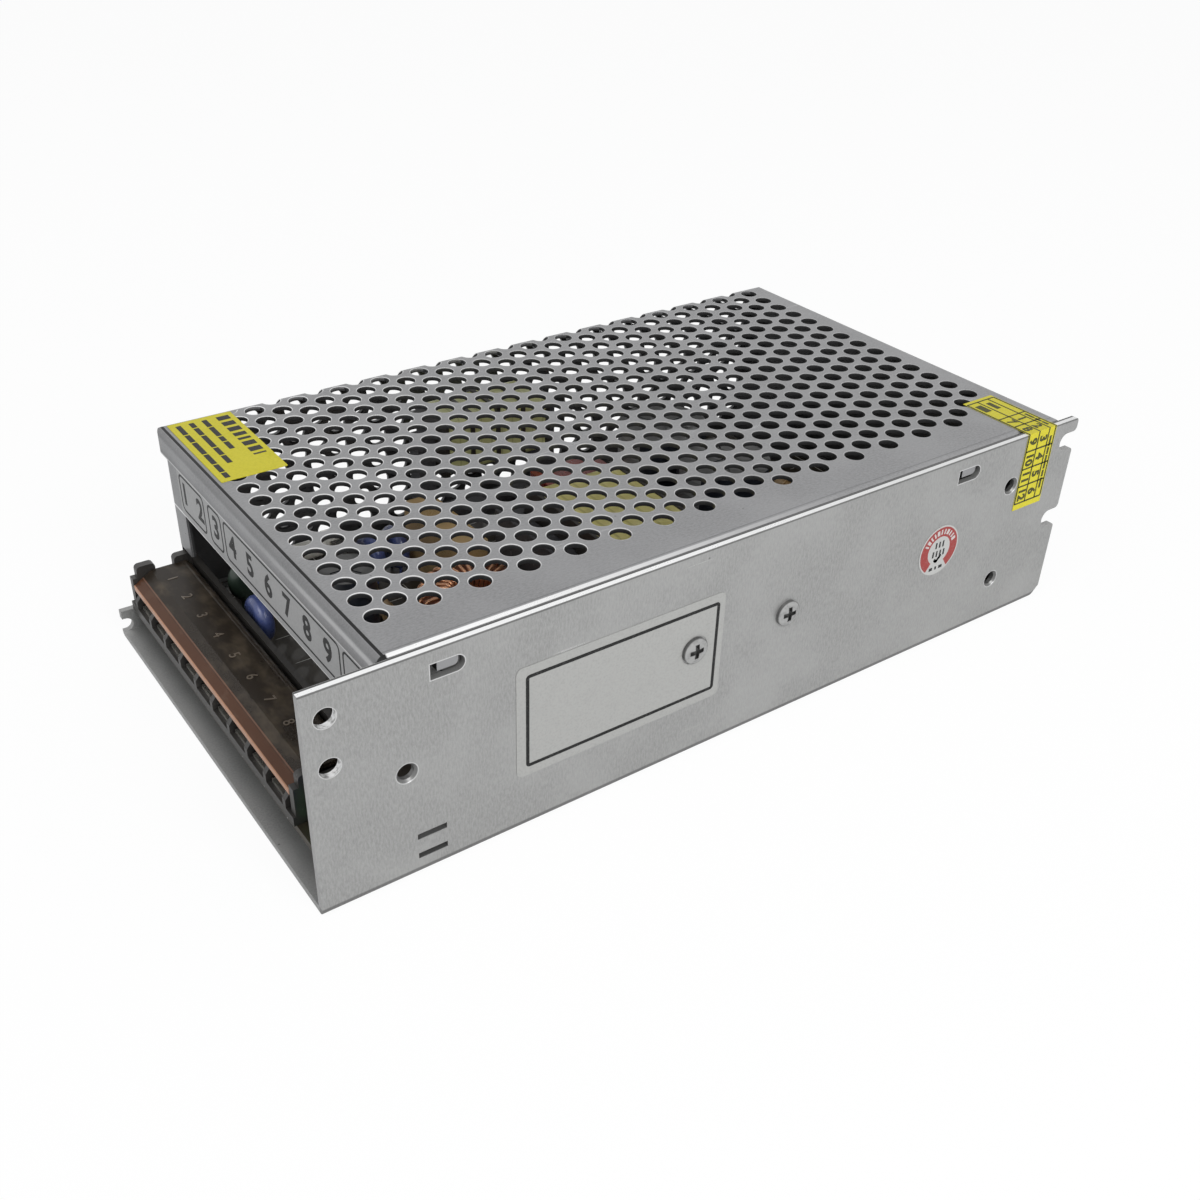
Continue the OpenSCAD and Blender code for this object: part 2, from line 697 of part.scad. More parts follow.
module terminal_contacts() {
    color("gold") for (y = pole_ys) difference() {
        translate([block_x0 + 1, y - contact_w / 2, 0]) {
            translate([0, 0, z_contact])
                cube([hinge_x - 0.9 + FIT + contact_t - block_x0 - 1, contact_w, contact_t]);
            translate([hinge_x - 0.9 + FIT - block_x0 - 1, 0, z_board])
                cube([contact_t, contact_w, block_floor + EPS]);
        }
        translate([pole_x, y, z_board]) cylinder(r = pole_shank_d / 2 + FIT, h = block_floor + 2);
    }
}

module terminal_clamps() {
    color("silver") for (y = pole_ys) difference() {
        translate([pole_x - clamp_w / 2, y - clamp_w / 2, z_clamp]) cube([clamp_w, clamp_w, clamp_t]);
        translate([pole_x, y, z_clamp - OVER])
            cylinder(r = pole_shank_d / 2 + screw_play, h = clamp_t + 2 * OVER);
    }
}

module terminal_screws() {
    reach = clamp_t + contact_t + block_floor - 0.3;
    color("lightgrey") for (y = pole_ys) translate([pole_x, y, z_head])
        pan_screw(pole_shank_d / 2, reach, pole_head_d / 2, pole_head_h);
}

module terminal_cover() {
    flap_x0 = flap_x - flap_l;
    lean = lid_t * sqrt(pow(flap_l, 2) + pow(flap_drop, 2)) / flap_l;
    color([0.75, 0.66, 0.55, 0.45]) {
        slab_xz(block_y - lid_half, 2 * lid_half) polygon([
            [hinge_x, lid_in], [hinge_x, lid_in + lid_t], [flap_x, lid_in + lid_t],
            [flap_x0, lid_in + lid_t - flap_drop], [flap_x0, lid_in + lid_t - flap_drop - lean],
            [flap_x + lean / 3, lid_in]]);
        rod_y(hinge_x, block_y - lid_half, hinge_z, barrel_r, 2 * lid_half);
        rod_y(hinge_x, block_y - block_half + 0.4, hinge_z, pin_r, 2 * (block_half - 0.4));
    }
}

module trimmer_body() {
    color("royalblue") difference() {
        translate([trim_x - trim_w / 2, trim_y - trim_w / 2, z_board])
            round_box([trim_w, trim_w, trim_h], 0.4);
        translate([trim_x, trim_y, z_board + trim_h - rotor_sink])
            cylinder(r = rotor_r + run_gap, h = rotor_sink + OVER);
    }
}

module trimmer_rotor() {
    z0 = z_board + trim_h - rotor_sink;
    slot = 0.6;
    color("white") difference() {
        translate([trim_x, trim_y, z0]) cylinder(r = rotor_r, h = rotor_h);
        for (a = [0, 90]) translate([trim_x, trim_y, z0 + rotor_h - 0.8]) rotate([0, 0, a])
            translate([-1.6, -slot / 2, 0]) cube([3.2, slot, OVER]);
    }
}

module indicator_lamp() {
    color("limegreen") translate([lamp_x, lamp_y, z_board]) {
        cylinder(r = lamp_r + 0.4, h = 1);
        cylinder(r = lamp_r, h = lamp_h - lamp_r);
        translate([0, 0, lamp_h - lamp_r]) sphere(r = lamp_r);
    }
}

module thermal_pad() {
    edge = 1;
    color("lightgrey") difference() {
        translate([wall_mid - bar_l / 2 - edge, y_wall, device_z - edge])
            cube([bar_l + 2 * edge, pad_t, device_h + 2 * edge]);
        for (x = wall_screw_xs) rod_y(x, y_wall - OVER, wall_screw_z, screw_r + 0.5, pad_t + 2 * OVER);
    }
}

// Flat power package against the wall, its three legs down to the board
module power_device(x) {
    leg_y = y_pad + device_t * 0.55;
    translate([x - device_w / 2, y_pad, device_z]) difference() {
        cube([device_w, device_t, device_h]);
        translate([-OVER, device_t - 0.8, device_h - 3]) cube([2.4 + OVER, 2, 4]);
        translate([device_w - 2.4, device_t - 0.8, device_h - 3]) cube([4, 2, 4]);
    }
    for (i = [-1:1]) translate([x + i * 5.4 - 0.6, leg_y, z_board])
        cube([1.2, 0.7, device_z - z_board + EPS]);
}

module switching_transistors() {
    color([0.12, 0.12, 0.13]) for (i = [1, 2]) power_device(device_xs[i]);
}

module output_rectifier() {
    color([0.13, 0.13, 0.14]) power_device(device_xs[0]);
}

module clamp_bar() {
    color("grey") difference() {
        translate([wall_mid - bar_l / 2, y_bar, wall_screw_z - bar_h / 2]) cube([bar_l, bar_t, bar_h]);
        for (x = wall_screw_xs) rod_y(x, y_bar - OVER, wall_screw_z, screw_r + FIT, bar_t + 2 * OVER);
    }
}

module wall_screws() {
    color("silver") for (x = wall_screw_xs) translate([x, y_near, wall_screw_z])
        rotate([90, 0, 0]) pan_screw(screw_r, y_bar + bar_t - y_near + 1, head_d / 2, head_h);
}

// Two E halves that meet in the middle, lying flat
module main_core() {
    leg_y = main_w / 2 - main_leg;
    color([0.2, 0.2, 0.21]) translate([main_x, main_y, main_z - main_t / 2]) for (s = [0, 180])
        rotate([0, 0, s]) {
            translate([0, -main_w / 2, 0]) cube([main_l / 2, main_leg, main_t]);
            translate([0, leg_y, 0]) cube([main_l / 2, main_leg, main_t]);
            translate([main_l / 2 - main_leg, -main_w / 2, 0]) cube([main_leg, main_w, main_t]);
            translate([0, -main_leg, 0]) cube([main_l / 2, 2 * main_leg, main_t]);
        }
}

module main_bobbin() {
    half = main_l / 2 - main_leg - 0.3;
    wide = main_w - 2 * main_leg - 0.6;
    thick = 1;
    color([0.16, 0.12, 0.1]) translate([main_x, main_y, 0]) {
        difference() {
            translate([-half, -main_leg - thick - 0.2, main_z - main_t / 2 - thick - 0.2])
                cube([2 * half, 2 * (main_leg + thick + 0.2), main_t + 2 * thick + 0.4]);
            translate([-half - OVER, -main_leg - 0.2, main_z - main_t / 2 - 0.2])
                cube([2 * half + 2 * OVER, 2 * main_leg + 0.4, main_t + 0.4]);
        }
        for (x = [-half, half - thick]) difference() {
            translate([x, -wide / 2, main_z - main_rise]) cube([thick, wide, 2 * main_rise]);
            translate([x - OVER, -main_leg - 0.2, main_z - main_t / 2 - 0.2])
                cube([thick + 2 * OVER, 2 * main_leg + 0.4, main_t + 0.4]);
        }
        for (x = [-half - main_leg, half - thick]) translate([x, -wide / 2, z_board])
            cube([main_leg + thick, wide, main_z - main_t / 2 - 0.3 - z_board]);
    }
}

module main_winding() {
    half = main_l / 2 - main_leg - 1.4;
    wide = main_w - 2 * main_leg - 1;
    rise = main_rise - 0.2;
    core = main_leg + 1.25;
    z_in = main_t / 2 + 1.25;
    color("khaki") translate([main_x - half, main_y, main_z]) rotate([90, 0, 90])
        linear_extrude(2 * half) difference() {
            translate([-wide / 2, -rise]) round_rect(wide, 2 * rise, 3);
            translate([-core, -z_in]) square([2 * core, 2 * z_in]);
        }
}

module ring_core() {
    color([0.85, 0.8, 0.3]) translate([ring_x, ring_y, z_board + ring_wire + 0.1]) difference() {
        cylinder(d = ring_d, h = ring_h);
        translate([0, 0, -OVER]) cylinder(d = ring_hole, h = ring_h + 2 * OVER);
    }
}

// Turns packed into the hole are one tube, and each turn goes round the section
module ring_winding() {
    wide = (ring_d - ring_hole) / 2;
    high = ring_h + 2 * ring_wire + 0.2;
    thick = ring_wire * 0.72;
    color("chocolate") translate([ring_x, ring_y, z_board]) {
        translate([0, 0, 0.4]) rotate_extrude()
            translate([ring_hole / 2 - ring_wire, 0]) square([ring_wire - FIT, high - 0.8]);
        for (i = [0:ring_turns - 1]) rotate([0, 0, i * 330 / ring_turns + 15])
            translate([ring_hole / 2 - ring_wire + 0.4, thick / 2, 0]) rotate([90, 0, 0])
                linear_extrude(thick) difference() {
                    round_rect(wide + 2 * ring_wire - 0.4, high, ring_wire);
                    translate([ring_wire - 0.4 - FIT, ring_wire - FIT])
                        square([wide + 2 * FIT, ring_h + 0.2 + 2 * FIT]);
                }
    }
}

// Upright ring of ferrite with its coil round the upper bar
module line_choke_core() {
    low = z_board + 4;
    color([0.2, 0.2, 0.2]) translate([line_x - line_l / 2, line_y - line_leg / 2, low]) difference() {
        cube([line_l, line_leg, line_z + line_leg / 2 - low]);
        translate([line_leg, -OVER, line_leg])
            cube([line_l - 2 * line_leg, line_leg + 2 * OVER, line_z - line_leg * 1.5 - low]);
    }
}

module line_choke_bobbin() {
    half = line_l / 2 - line_leg - 0.3;
    hole = line_leg + 0.4;
    wall = 1;
    foot = 7;
    color([0.1, 0.1, 0.1]) {
        difference() {
            union() {
                translate([line_x - half, line_y, line_z]) rotate([0, 90, 0]) linear_extrude(2 * half)
                    square(hole + 2 * wall, center = true);
                for (i = [0:4]) translate([line_x - half + i * (2 * half - wall) / 4,
                    line_y - line_w / 2, line_z - line_h / 2]) cube([wall, line_w, line_h]);
            }
            translate([line_x - half - OVER, line_y, line_z]) rotate([0, 90, 0])
                linear_extrude(2 * half + 2 * OVER) square(hole, center = true);
        }
        for (x = [line_x - line_l / 2, line_x + line_l / 2 - foot]) difference() {
            translate([x, line_y - 5, z_board]) cube([foot, 10, 7]);
            translate([x - OVER, line_y - line_leg / 2 - FIT, z_board + 4 - FIT])
                cube([foot + 2 * OVER, line_leg + 2 * FIT, 4]);
        }
    }
}

module line_choke_winding() {
    half = line_l / 2 - line_leg - 0.3;
    wall = 1;
    step = (2 * half - wall) / 4;
    hole = line_leg + 0.4 + 2 * wall + 2 * FIT;
    color("darkkhaki") for (i = [0:3])
        translate([line_x - half + i * step + wall + FIT, line_y, line_z]) rotate([90, 0, 90])
            linear_extrude(step - wall - 2 * FIT) difference() {
                translate([-line_w / 2 + 0.5, -line_h / 2 + 0.5]) round_rect(line_w - 1, line_h - 1, 2);
                square(hole, center = true);
            }
}

module drive_core() {
    leg = 4;
    color([0.22, 0.22, 0.22])
        translate([drive_x - drive_w / 2, drive_y - leg / 2, z_board + 2]) difference() {
        cube([drive_w, leg, drive_h - 3]);
        translate([leg - 1, -OVER, leg - 1])
            cube([drive_w - 2 * leg + 2, leg + 2 * OVER, drive_h - 3 - 2 * leg + 2]);
    }
}

module drive_winding() {
    leg = 4;
    half_w = drive_w / 2 - leg + 0.8;
    color("khaki") translate([drive_x, drive_y, z_board]) {
        translate([-half_w, -drive_w * 0.4, leg + 1.2])
            round_box([2 * half_w, drive_w * 0.8, drive_h - 3 - 2 * leg + 1.6], 1.5);
        translate([-drive_w / 2, -drive_w * 0.4, 0]) cube([drive_w, drive_w * 0.8, 1.9]);
        for (y = [-drive_w * 0.4, drive_w * 0.4 - 1.5]) translate([-half_w, y, 0])
            cube([2 * half_w, 1.5, leg + 1.2 + EPS]);
    }
}

bulk_pts = [for (s = [-0.5, 0.5]) [bulk_x, s * (bulk_d + 1.5)]];
output_x = x_lip + 18.6;
output_pts = [for (y = [board_y0 + 9.5, board_y0 + 24.5, board_y0 + 54.5]) [output_x, y]];

module input_capacitors() {
    color([0.14, 0.15, 0.2]) for (p = bulk_pts) translate([p[0], p[1], z_board]) can(bulk_d, bulk_h);
}

module output_capacitors() {
    color([0.15, 0.15, 0.17]) for (p = output_pts)
        translate([p[0], p[1], z_board]) can(output_d, output_h);
}

module film_capacitor() {
    color("firebrick") translate([main_x + 13, main_y + main_w / 2 + 13, 0])
        legged_box([19, 9, 21.5], 1, 14, 1);
}

module line_capacitor() {
    color("tan") translate([ring_x + 8.5, ring_y + ring_d / 2 + ring_wire + 14.5, 0]) rotate([0, 0, 90])
        legged_box([27, 8, 18], 0.8, 20, 0.6);
}

safety_pts = [[ring_x + 1.5, line_y - 8.5], [ring_x - 5, line_y - 8.5], [x_lip + 5.5, block_y + 14.5]];

module safety_capacitors() {
    color("steelblue") for (p = safety_pts) translate([p[0], p[1], z_board]) {
        translate([-1.9, 0, 1.6 + disc_d / 2]) rotate([0, 90, 0]) round_disc(disc_d / 2, 3.8);
        for (y = [-2.5, 2.5]) translate([0, y, 0]) cylinder(r = 0.35, h = 3.2);
    }
}

// Disc with a rounded rim, its axis along Z
module round_disc(r, t) {
    rotate_extrude() {
        square([r - t / 2, t]);
        intersection() {
            translate([r - t / 2, t / 2]) circle(t / 2);
            square([r, t]);
        }
    }
}

module bridge_rectifier() {
    color([0.12, 0.12, 0.12]) translate([x_rear - 16, board_y1 - 31, z_board]) {
        translate([0, 0, 3]) round_box([3.6, 22, 18], 0.5);
        for (i = [0:3]) translate([1.2, 3 + i * 5.1, 0]) cube([0.8, 1.2, 3 + EPS]);
    }
}

fuse_x = x_lip + 28;
fuse_y = board_y1 - 5;
fuse_l = 20;
fuse_d = 5;
fuse_z = z_board + 5;

module fuse() {
    color("white") translate([fuse_x - fuse_l / 2, fuse_y, fuse_z]) rotate([0, 90, 0]) {
        translate([0, 0, 5]) cylinder(d = fuse_d - 0.4, h = fuse_l - 10);
        for (z = [0, fuse_l - 5.2]) translate([0, 0, z]) cylinder(d = fuse_d, h = 5.2);
    }
}

module fuse_clips() {
    wall = 0.5;
    color("silver") for (x = [fuse_x - fuse_l / 2 + 0.7, fuse_x + fuse_l / 2 - 4.7])
        translate([x, fuse_y, z_board]) {
            difference() {
                translate([0, -fuse_d / 2 - wall, 0]) cube([4, fuse_d + 2 * wall, 7.4]);
                translate([-OVER, -fuse_d / 2, wall]) cube([4 + 2 * OVER, fuse_d, 8]);
            }
            translate([0, -1.2, 0]) cube([4, 2.4, fuse_z - z_board - fuse_d / 2]);
        }
}

module thermistor() {
    color([0.16, 0.22, 0.16]) translate([x_lip + 10.5, board_y1 - 14.5, z_board]) {
        translate([0, 2.2, 2 + 6]) rotate([90, 0, 0]) round_disc(6, 4.4);
        for (x = [-3, 3]) translate([x, 0, 0]) cylinder(r = 0.5, h = 3.6);
    }
}

chip_pt = [x_rear - 44, board_y0 + 22];

module control_chip() {
    pins = 8;
    color([0.1, 0.1, 0.1]) translate([chip_pt[0], chip_pt[1], z_board]) {
        difference() {
            translate([-10, -3.2, 0.6]) cube([20, 6.4, 3.4]);
            translate([-10, 0, 3.6]) cylinder(r = 1, h = 2);
        }
        for (i = [0:pins - 1], y = [-3.9, 3.3]) translate([-9.15 + i * 2.54, y, 0]) cube([0.5, 0.6, 2.6]);
        for (i = [0:pins - 1], y = [-3.9, 3.1]) translate([-9.15 + i * 2.54, y, 1.9]) cube([0.5, 0.8, 0.7]);
    }
}

module signal_transistors() {
    color([0.12, 0.12, 0.12]) for (i = [0:2])
        translate([chip_pt[0] + 14, chip_pt[1] - 4 + i * 6, z_board]) {
        difference() {
            translate([0, 0, 2]) cylinder(d = 4.8, h = 4.8);
            translate([-3, 1.4, 1]) cube([6, 3, 7]);
        }
        for (x = [-1.27, 0, 1.27]) translate([x - 0.2, -0.2, 0]) cube([0.4, 0.4, 2 + EPS]);
    }
}

// Axial resistor lying over the board on two bent legs
module resistor(l, d) {
    z = d / 2 + 0.6;
    wire = 0.4;
    translate([-l / 2, 0, z]) rotate([0, 90, 0]) {
        cylinder(d = d * 0.86, h = l);
        for (h = [0, l * 0.76]) translate([0, 0, h]) cylinder(d = d, h = l * 0.24);
    }
    for (s = [-1, 1]) {
        translate([s * (l / 2 + 1.5), 0, 0]) cylinder(r = wire, h = z + wire);
        translate([s > 0 ? l / 2 - EPS : -l / 2 - 1.5, 0, z]) rotate([0, 90, 0])
            cylinder(r = wire, h = 1.5 + EPS);
    }
}

resistor_pts = [for (i = [0:3]) [chip_pt[0] + 18 + i * 4, chip_pt[1] + 14]];

module resistors() {
    color("tan") {
        for (p = resistor_pts) translate([p[0], p[1], z_board]) rotate([0, 0, 90]) resistor(7, 2.4);
        translate([drive_x + 14, drive_y - 6, z_board]) rotate([0, 0, 90]) resistor(12, 4.4);
        translate([ring_x - 10.5, ring_y + ring_d / 2 + ring_wire + 11, z_board]) rotate([0, 0, 90])
            resistor(12, 4.4);
    }
}

module small_capacitors() {
    color([0.12, 0.13, 0.22]) for (i = [0:3])
        translate([chip_pt[0] - 10 + i * 9, chip_pt[1] - 10 - (i % 2) * 2, z_board]) can(6.3, 11);
}

module legend_strip() {
    edge = 0.5;
    color("whitesmoke") translate([x_lip - label_t, y_skirt + 2, strip_low + edge])
        cube([label_t, y_far - leg_w - y_skirt - 1, z_brow - strip_low - 2 * edge]);
}

module spec_label() {
    color([0.78, 0.79, 0.8]) difference() {
        slab_xz(y_near - label_t, label_t) translate([x_front + 41.7, 12.9]) round_rect(spec_l, spec_h, 1.5);
        rod_y(wall_screw_xs[0], y_near - 1, wall_screw_z, head_d / 2 + AIR, 2);
    }
}

module round_seal() {
    color("firebrick") rod_y(x_end - 43.3, y_near - label_t, 27.2, seal_d / 2, label_t);
}

module top_label() {
    color("gold") translate([x_brow + cover_bend + 0.2, y_bend - top_label_l, z_top])
        round_box([top_label_w, top_label_l, label_t], 0.3);
}

module dated_seal() {
    x0 = x_end - 8.4 - dated_w;
    color("yellow") {
        translate([x0, y_near - label_t, z_top]) cube([dated_w, dated_top, label_t]);
        translate([x0, y_near - label_t, z_top - dated_side]) cube([dated_w, label_t, dated_side + EPS]);
    }
}

chassis();
mesh_cover();
cover_screws();
insulating_film();
board_standoffs();
circuit_board();
board_screws();
terminal_block();
terminal_contacts();
terminal_clamps();
terminal_screws();
terminal_cover();
trimmer_body();
trimmer_rotor();
indicator_lamp();
thermal_pad();
switching_transistors();
output_rectifier();
clamp_bar();
wall_screws();
main_core();
main_bobbin();
main_winding();
ring_core();
ring_winding();
line_choke_core();
line_choke_bobbin();
line_choke_winding();
drive_core();
drive_winding();
input_capacitors();
output_capacitors();
film_capacitor();
line_capacitor();
safety_capacitors();
bridge_rectifier();
fuse();
fuse_clips();
thermistor();
control_chip();
signal_transistors();
resistors();
small_capacitors();
legend_strip();
spec_label();
round_seal();
top_label();
dated_seal();
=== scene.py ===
"""Finishes, prints and wound coils for an enclosed mains supply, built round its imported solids."""

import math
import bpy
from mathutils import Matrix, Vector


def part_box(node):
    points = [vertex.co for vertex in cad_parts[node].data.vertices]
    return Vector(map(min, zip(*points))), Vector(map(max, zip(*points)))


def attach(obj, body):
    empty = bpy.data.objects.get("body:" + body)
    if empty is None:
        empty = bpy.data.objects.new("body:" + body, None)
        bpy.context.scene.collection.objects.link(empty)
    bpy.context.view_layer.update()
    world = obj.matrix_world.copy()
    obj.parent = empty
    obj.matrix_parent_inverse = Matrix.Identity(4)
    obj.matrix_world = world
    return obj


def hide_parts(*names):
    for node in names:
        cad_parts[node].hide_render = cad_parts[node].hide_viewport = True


bl_info = {
    "name": "Mesh Case Supply",
    "version": (1, 0, 0),
    "blender": (4, 5, 0),
    "location": "3D View > Sidebar > Supply",
    "description": "Dresses the packed solids of an enclosed mains supply",
    "category": "Object",
}

from contextlib import contextmanager

import bpy
from mathutils import Matrix, Vector

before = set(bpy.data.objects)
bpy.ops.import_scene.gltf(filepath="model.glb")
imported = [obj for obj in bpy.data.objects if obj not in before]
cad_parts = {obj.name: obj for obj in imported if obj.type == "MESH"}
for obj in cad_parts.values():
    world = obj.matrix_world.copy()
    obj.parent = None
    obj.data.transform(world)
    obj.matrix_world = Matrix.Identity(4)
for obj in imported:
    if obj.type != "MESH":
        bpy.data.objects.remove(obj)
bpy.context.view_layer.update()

MM = 0.001
CASE = "case"
LID = "clear_lid"
INK = 0.03 * MM
BOLD_LEGEND = 0.22 * MM
BOLD_GRID = 0.15 * MM

# Camera, floor and lamps
SENSOR_WIDTH = 36.0
CLIP_START = 0.01
FLOOR_WHITE = 0.93
SKY_COLOUR = (0.97, 0.985, 1.0, 1)
LAMP_AIM = (0.0, 0.0, 0.02)
LAMP_SIZE = 0.6
KEY_PLACE = (0.0, -0.95, 0.7)
FILL_PLACE = (-0.8, -0.2, 0.7)

# Places on the case in millimetres, as in its solids: the wall faces -Y at NEAR, the cover's near leg
# starts at COVER_NEAR, and the brow and the label strip's lip face -X over the terminals
TOP = 50.0
NEAR = -55.0
SHEET = 1.5
FLOOR_TOP = 1.5
COVER_NEAR = -53.3
COVER_FAR = 55.0
REAR_INSIDE = 95.2
BEND = 2.0
BROW = -84.3
LIP = -83.1
STRIP_LOW = 30.4
POLES = 9

# Perforations: the first hole, the spacing along X and over the bend, and how far both go
HOLE_X0 = -78.4
HOLE_Y0 = -40.8
HOLE_ROW = 5.36
HOLE_PITCH = 6.3
HOLE_R = 2.25
HOLE_ROWS = 32
HOLE_PATH = 132.3
ROWS_MIDDLE = 83.0
ROWS_REACH = 85.7
SOLID_ROWS = 3

# Openings in the wall in X and Z, the holes with their radius
PLAIN_HOLES = ((-95.6, 43.8, 2.1), (-95.6, 33.1, 2.1))
TAPPED_HOLES = ((-81.3, 25.2, 2.2), (79.0, 11.9, 2.2), (79.0, 37.5, 2.2))
TAB_SLOTS = ((-72.2, 45.15), (62.6, 45.15))
SLOT_FRONT = 3.5
SLOT_REAR = 1.85
SLOT_R = 1.65
LANCES = ((-76.9, 4.4), (-76.9, 9.1))
LANCE_HALF = (3.3, 0.85)

X = Vector((1, 0, 0))
Y = Vector((0, 1, 0))
Z = Vector((0, 0, 1))


# Sizes and colours that a user would change


def length_property(name, description, default):
    """A length in metres, shown in the scene's unit."""
    return bpy.props.FloatProperty(
        name=name, description=description, default=default, unit="LENGTH", precision=5
    )


def place_property(name, description, default):
    return bpy.props.FloatVectorProperty(
        name=name, description=description, default=default, subtype="XYZ", unit="LENGTH", precision=5
    )


def amount_property(name, description, default, lowest=0.0):
    return bpy.props.FloatProperty(name=name, description=description, default=default, min=lowest)


def colour_property(name, description, default):
    return bpy.props.FloatVectorProperty(
        name=name, description=description, default=default, subtype="COLOR", min=0.0, max=1.0
    )


class SupplyStage(bpy.types.PropertyGroup):
    camera_place: place_property("Camera place", "Where the camera stands", (-0.16083, -0.21864, 0.17907))
    camera_aim: place_property("Camera aim", "A point on the view's middle", (-0.02099, -0.02959, 0.02707))
    camera_roll: bpy.props.FloatProperty(
        name="Camera roll",
        description="Turn of the camera about its own view",
        default=math.radians(1.917),
        subtype="ANGLE",
    )
    camera_lens: amount_property("Lens", "Focal length on a sensor of 36 mm", 39.25, 10.0)
    floor_size: length_property("Floor size", "Length of the pale floor's side", 6.0)
    sky_strength: amount_property("Sky strength", "Even light from all round", 0.5)
    key_power: amount_property("Key lamp", "Watts of the lamp over the plain wall", 9.0)
    fill_power: amount_property("Fill lamp", "Watts of the lamp high over the terminal end", 2.5)


class SupplyFinish(bpy.types.PropertyGroup):
    wall_colour: colour_property("Chassis", "Colour of the folded chassis sheet", (0.33, 0.33, 0.325))
    cover_colour: colour_property("Cover", "Colour of the perforated cover sheet", (0.27, 0.27, 0.275))
    # Cut edges take this colour, and it is also the colour of highlights painted on bends, rims and edges
    edge_and_highlight_colour: colour_property("Cut edges", "Colour of cut edges and worn bends", (0.86, 0.86, 0.86))
    lid_colour: colour_property("Clear cover", "Colour of the clear cover", (0.03, 0.023, 0.017))
    # The flap's colour is a painted glow of light gathering in the clear cover's front
    lid_glow: colour_property("Flap", "Colour that gathers in the clear cover's front", (0.1, 0.04, 0.02))
    label_yellow: colour_property("Yellow labels", "Colour of the yellow labels", (0.56, 0.5, 0.02))
    seal_red: colour_property("Round seal", "Colour of the round seal's ring", (0.27, 0.035, 0.032))
    ink_colour: colour_property("Ink", "Colour of the printed marks", (0.018, 0.018, 0.018))
    tape_colour: colour_property("Coil tape", "Colour of the tape round the coils", (0.78, 0.7, 0.24))


class SupplyPrint(bpy.types.PropertyGroup):
    legend_figure: length_property("Legend figures", "Type size over the terminals", 7.4 * MM)
    legend_line: length_property("Legend frames", "Line width over the terminals", 0.5 * MM)
    lid_figure: length_property("Cover figures", "Type size on the clear cover", 3.4 * MM)
    grid_cell: length_property("Grid cells", "Length of one cell of the dated seal's grid", 4.6 * MM)
    grid_figure: length_property("Grid figures", "Type size of the dated seal's figures", 3.4 * MM)
    coil_turns: bpy.props.IntProperty(
        name="Ring turns",
        description="Turns of copper wire on the ring core",
        default=28,
        min=4,
        max=29,
    )
    coil_wire: length_property("Ring wire", "Radius of the copper wire on the ring core", 0.5 * MM)


# Shader maths


def times(colour, factor, extra=0.0):
    """The colour with each part multiplied, and raised by extra."""
    return tuple(min(1.0, c * factor + extra) for c in colour)


class Wire:
    """An output socket of a material, with arithmetic that adds Math nodes."""

    def __init__(self, paint, socket):
        self.paint = paint
        self.socket = socket

    def __add__(self, other):
        return self.paint.math("ADD", self, other)

    __radd__ = __add__

    def __sub__(self, other):
        return self.paint.math("SUBTRACT", self, other)

    def __rsub__(self, other):
        return self.paint.math("SUBTRACT", other, self)

    def __mul__(self, other):
        return self.paint.math("MULTIPLY", self, other)

    __rmul__ = __mul__

    def __abs__(self):
        return self.paint.math("ABSOLUTE", self)

    def __lt__(self, other):
        return self.paint.math("LESS_THAN", self, other)

    def __gt__(self, other):
        return self.paint.math("GREATER_THAN", self, other)

    def root(self):
        return self.paint.math("SQRT", self)

    def from_multiple(self, step):
        """Distance from the nearest whole multiple of twice the step."""
        return self.paint.math("PINGPONG", self, step)

    def wave(self):
        return self.paint.math("SINE", self)

    def highest(self, other):
        return self.paint.math("MAXIMUM", self, other)

    def lowest(self, other):
        return self.paint.math("MINIMUM", self, other)

    def between(self, low, high):
        """0 below low, 1 over high, and smooth from one to the other."""
        settings = {"interpolation_type": "SMOOTHSTEP"}
        return self.paint.node("MapRange", settings, {"Value": self, "From Min": low, "From Max": high})


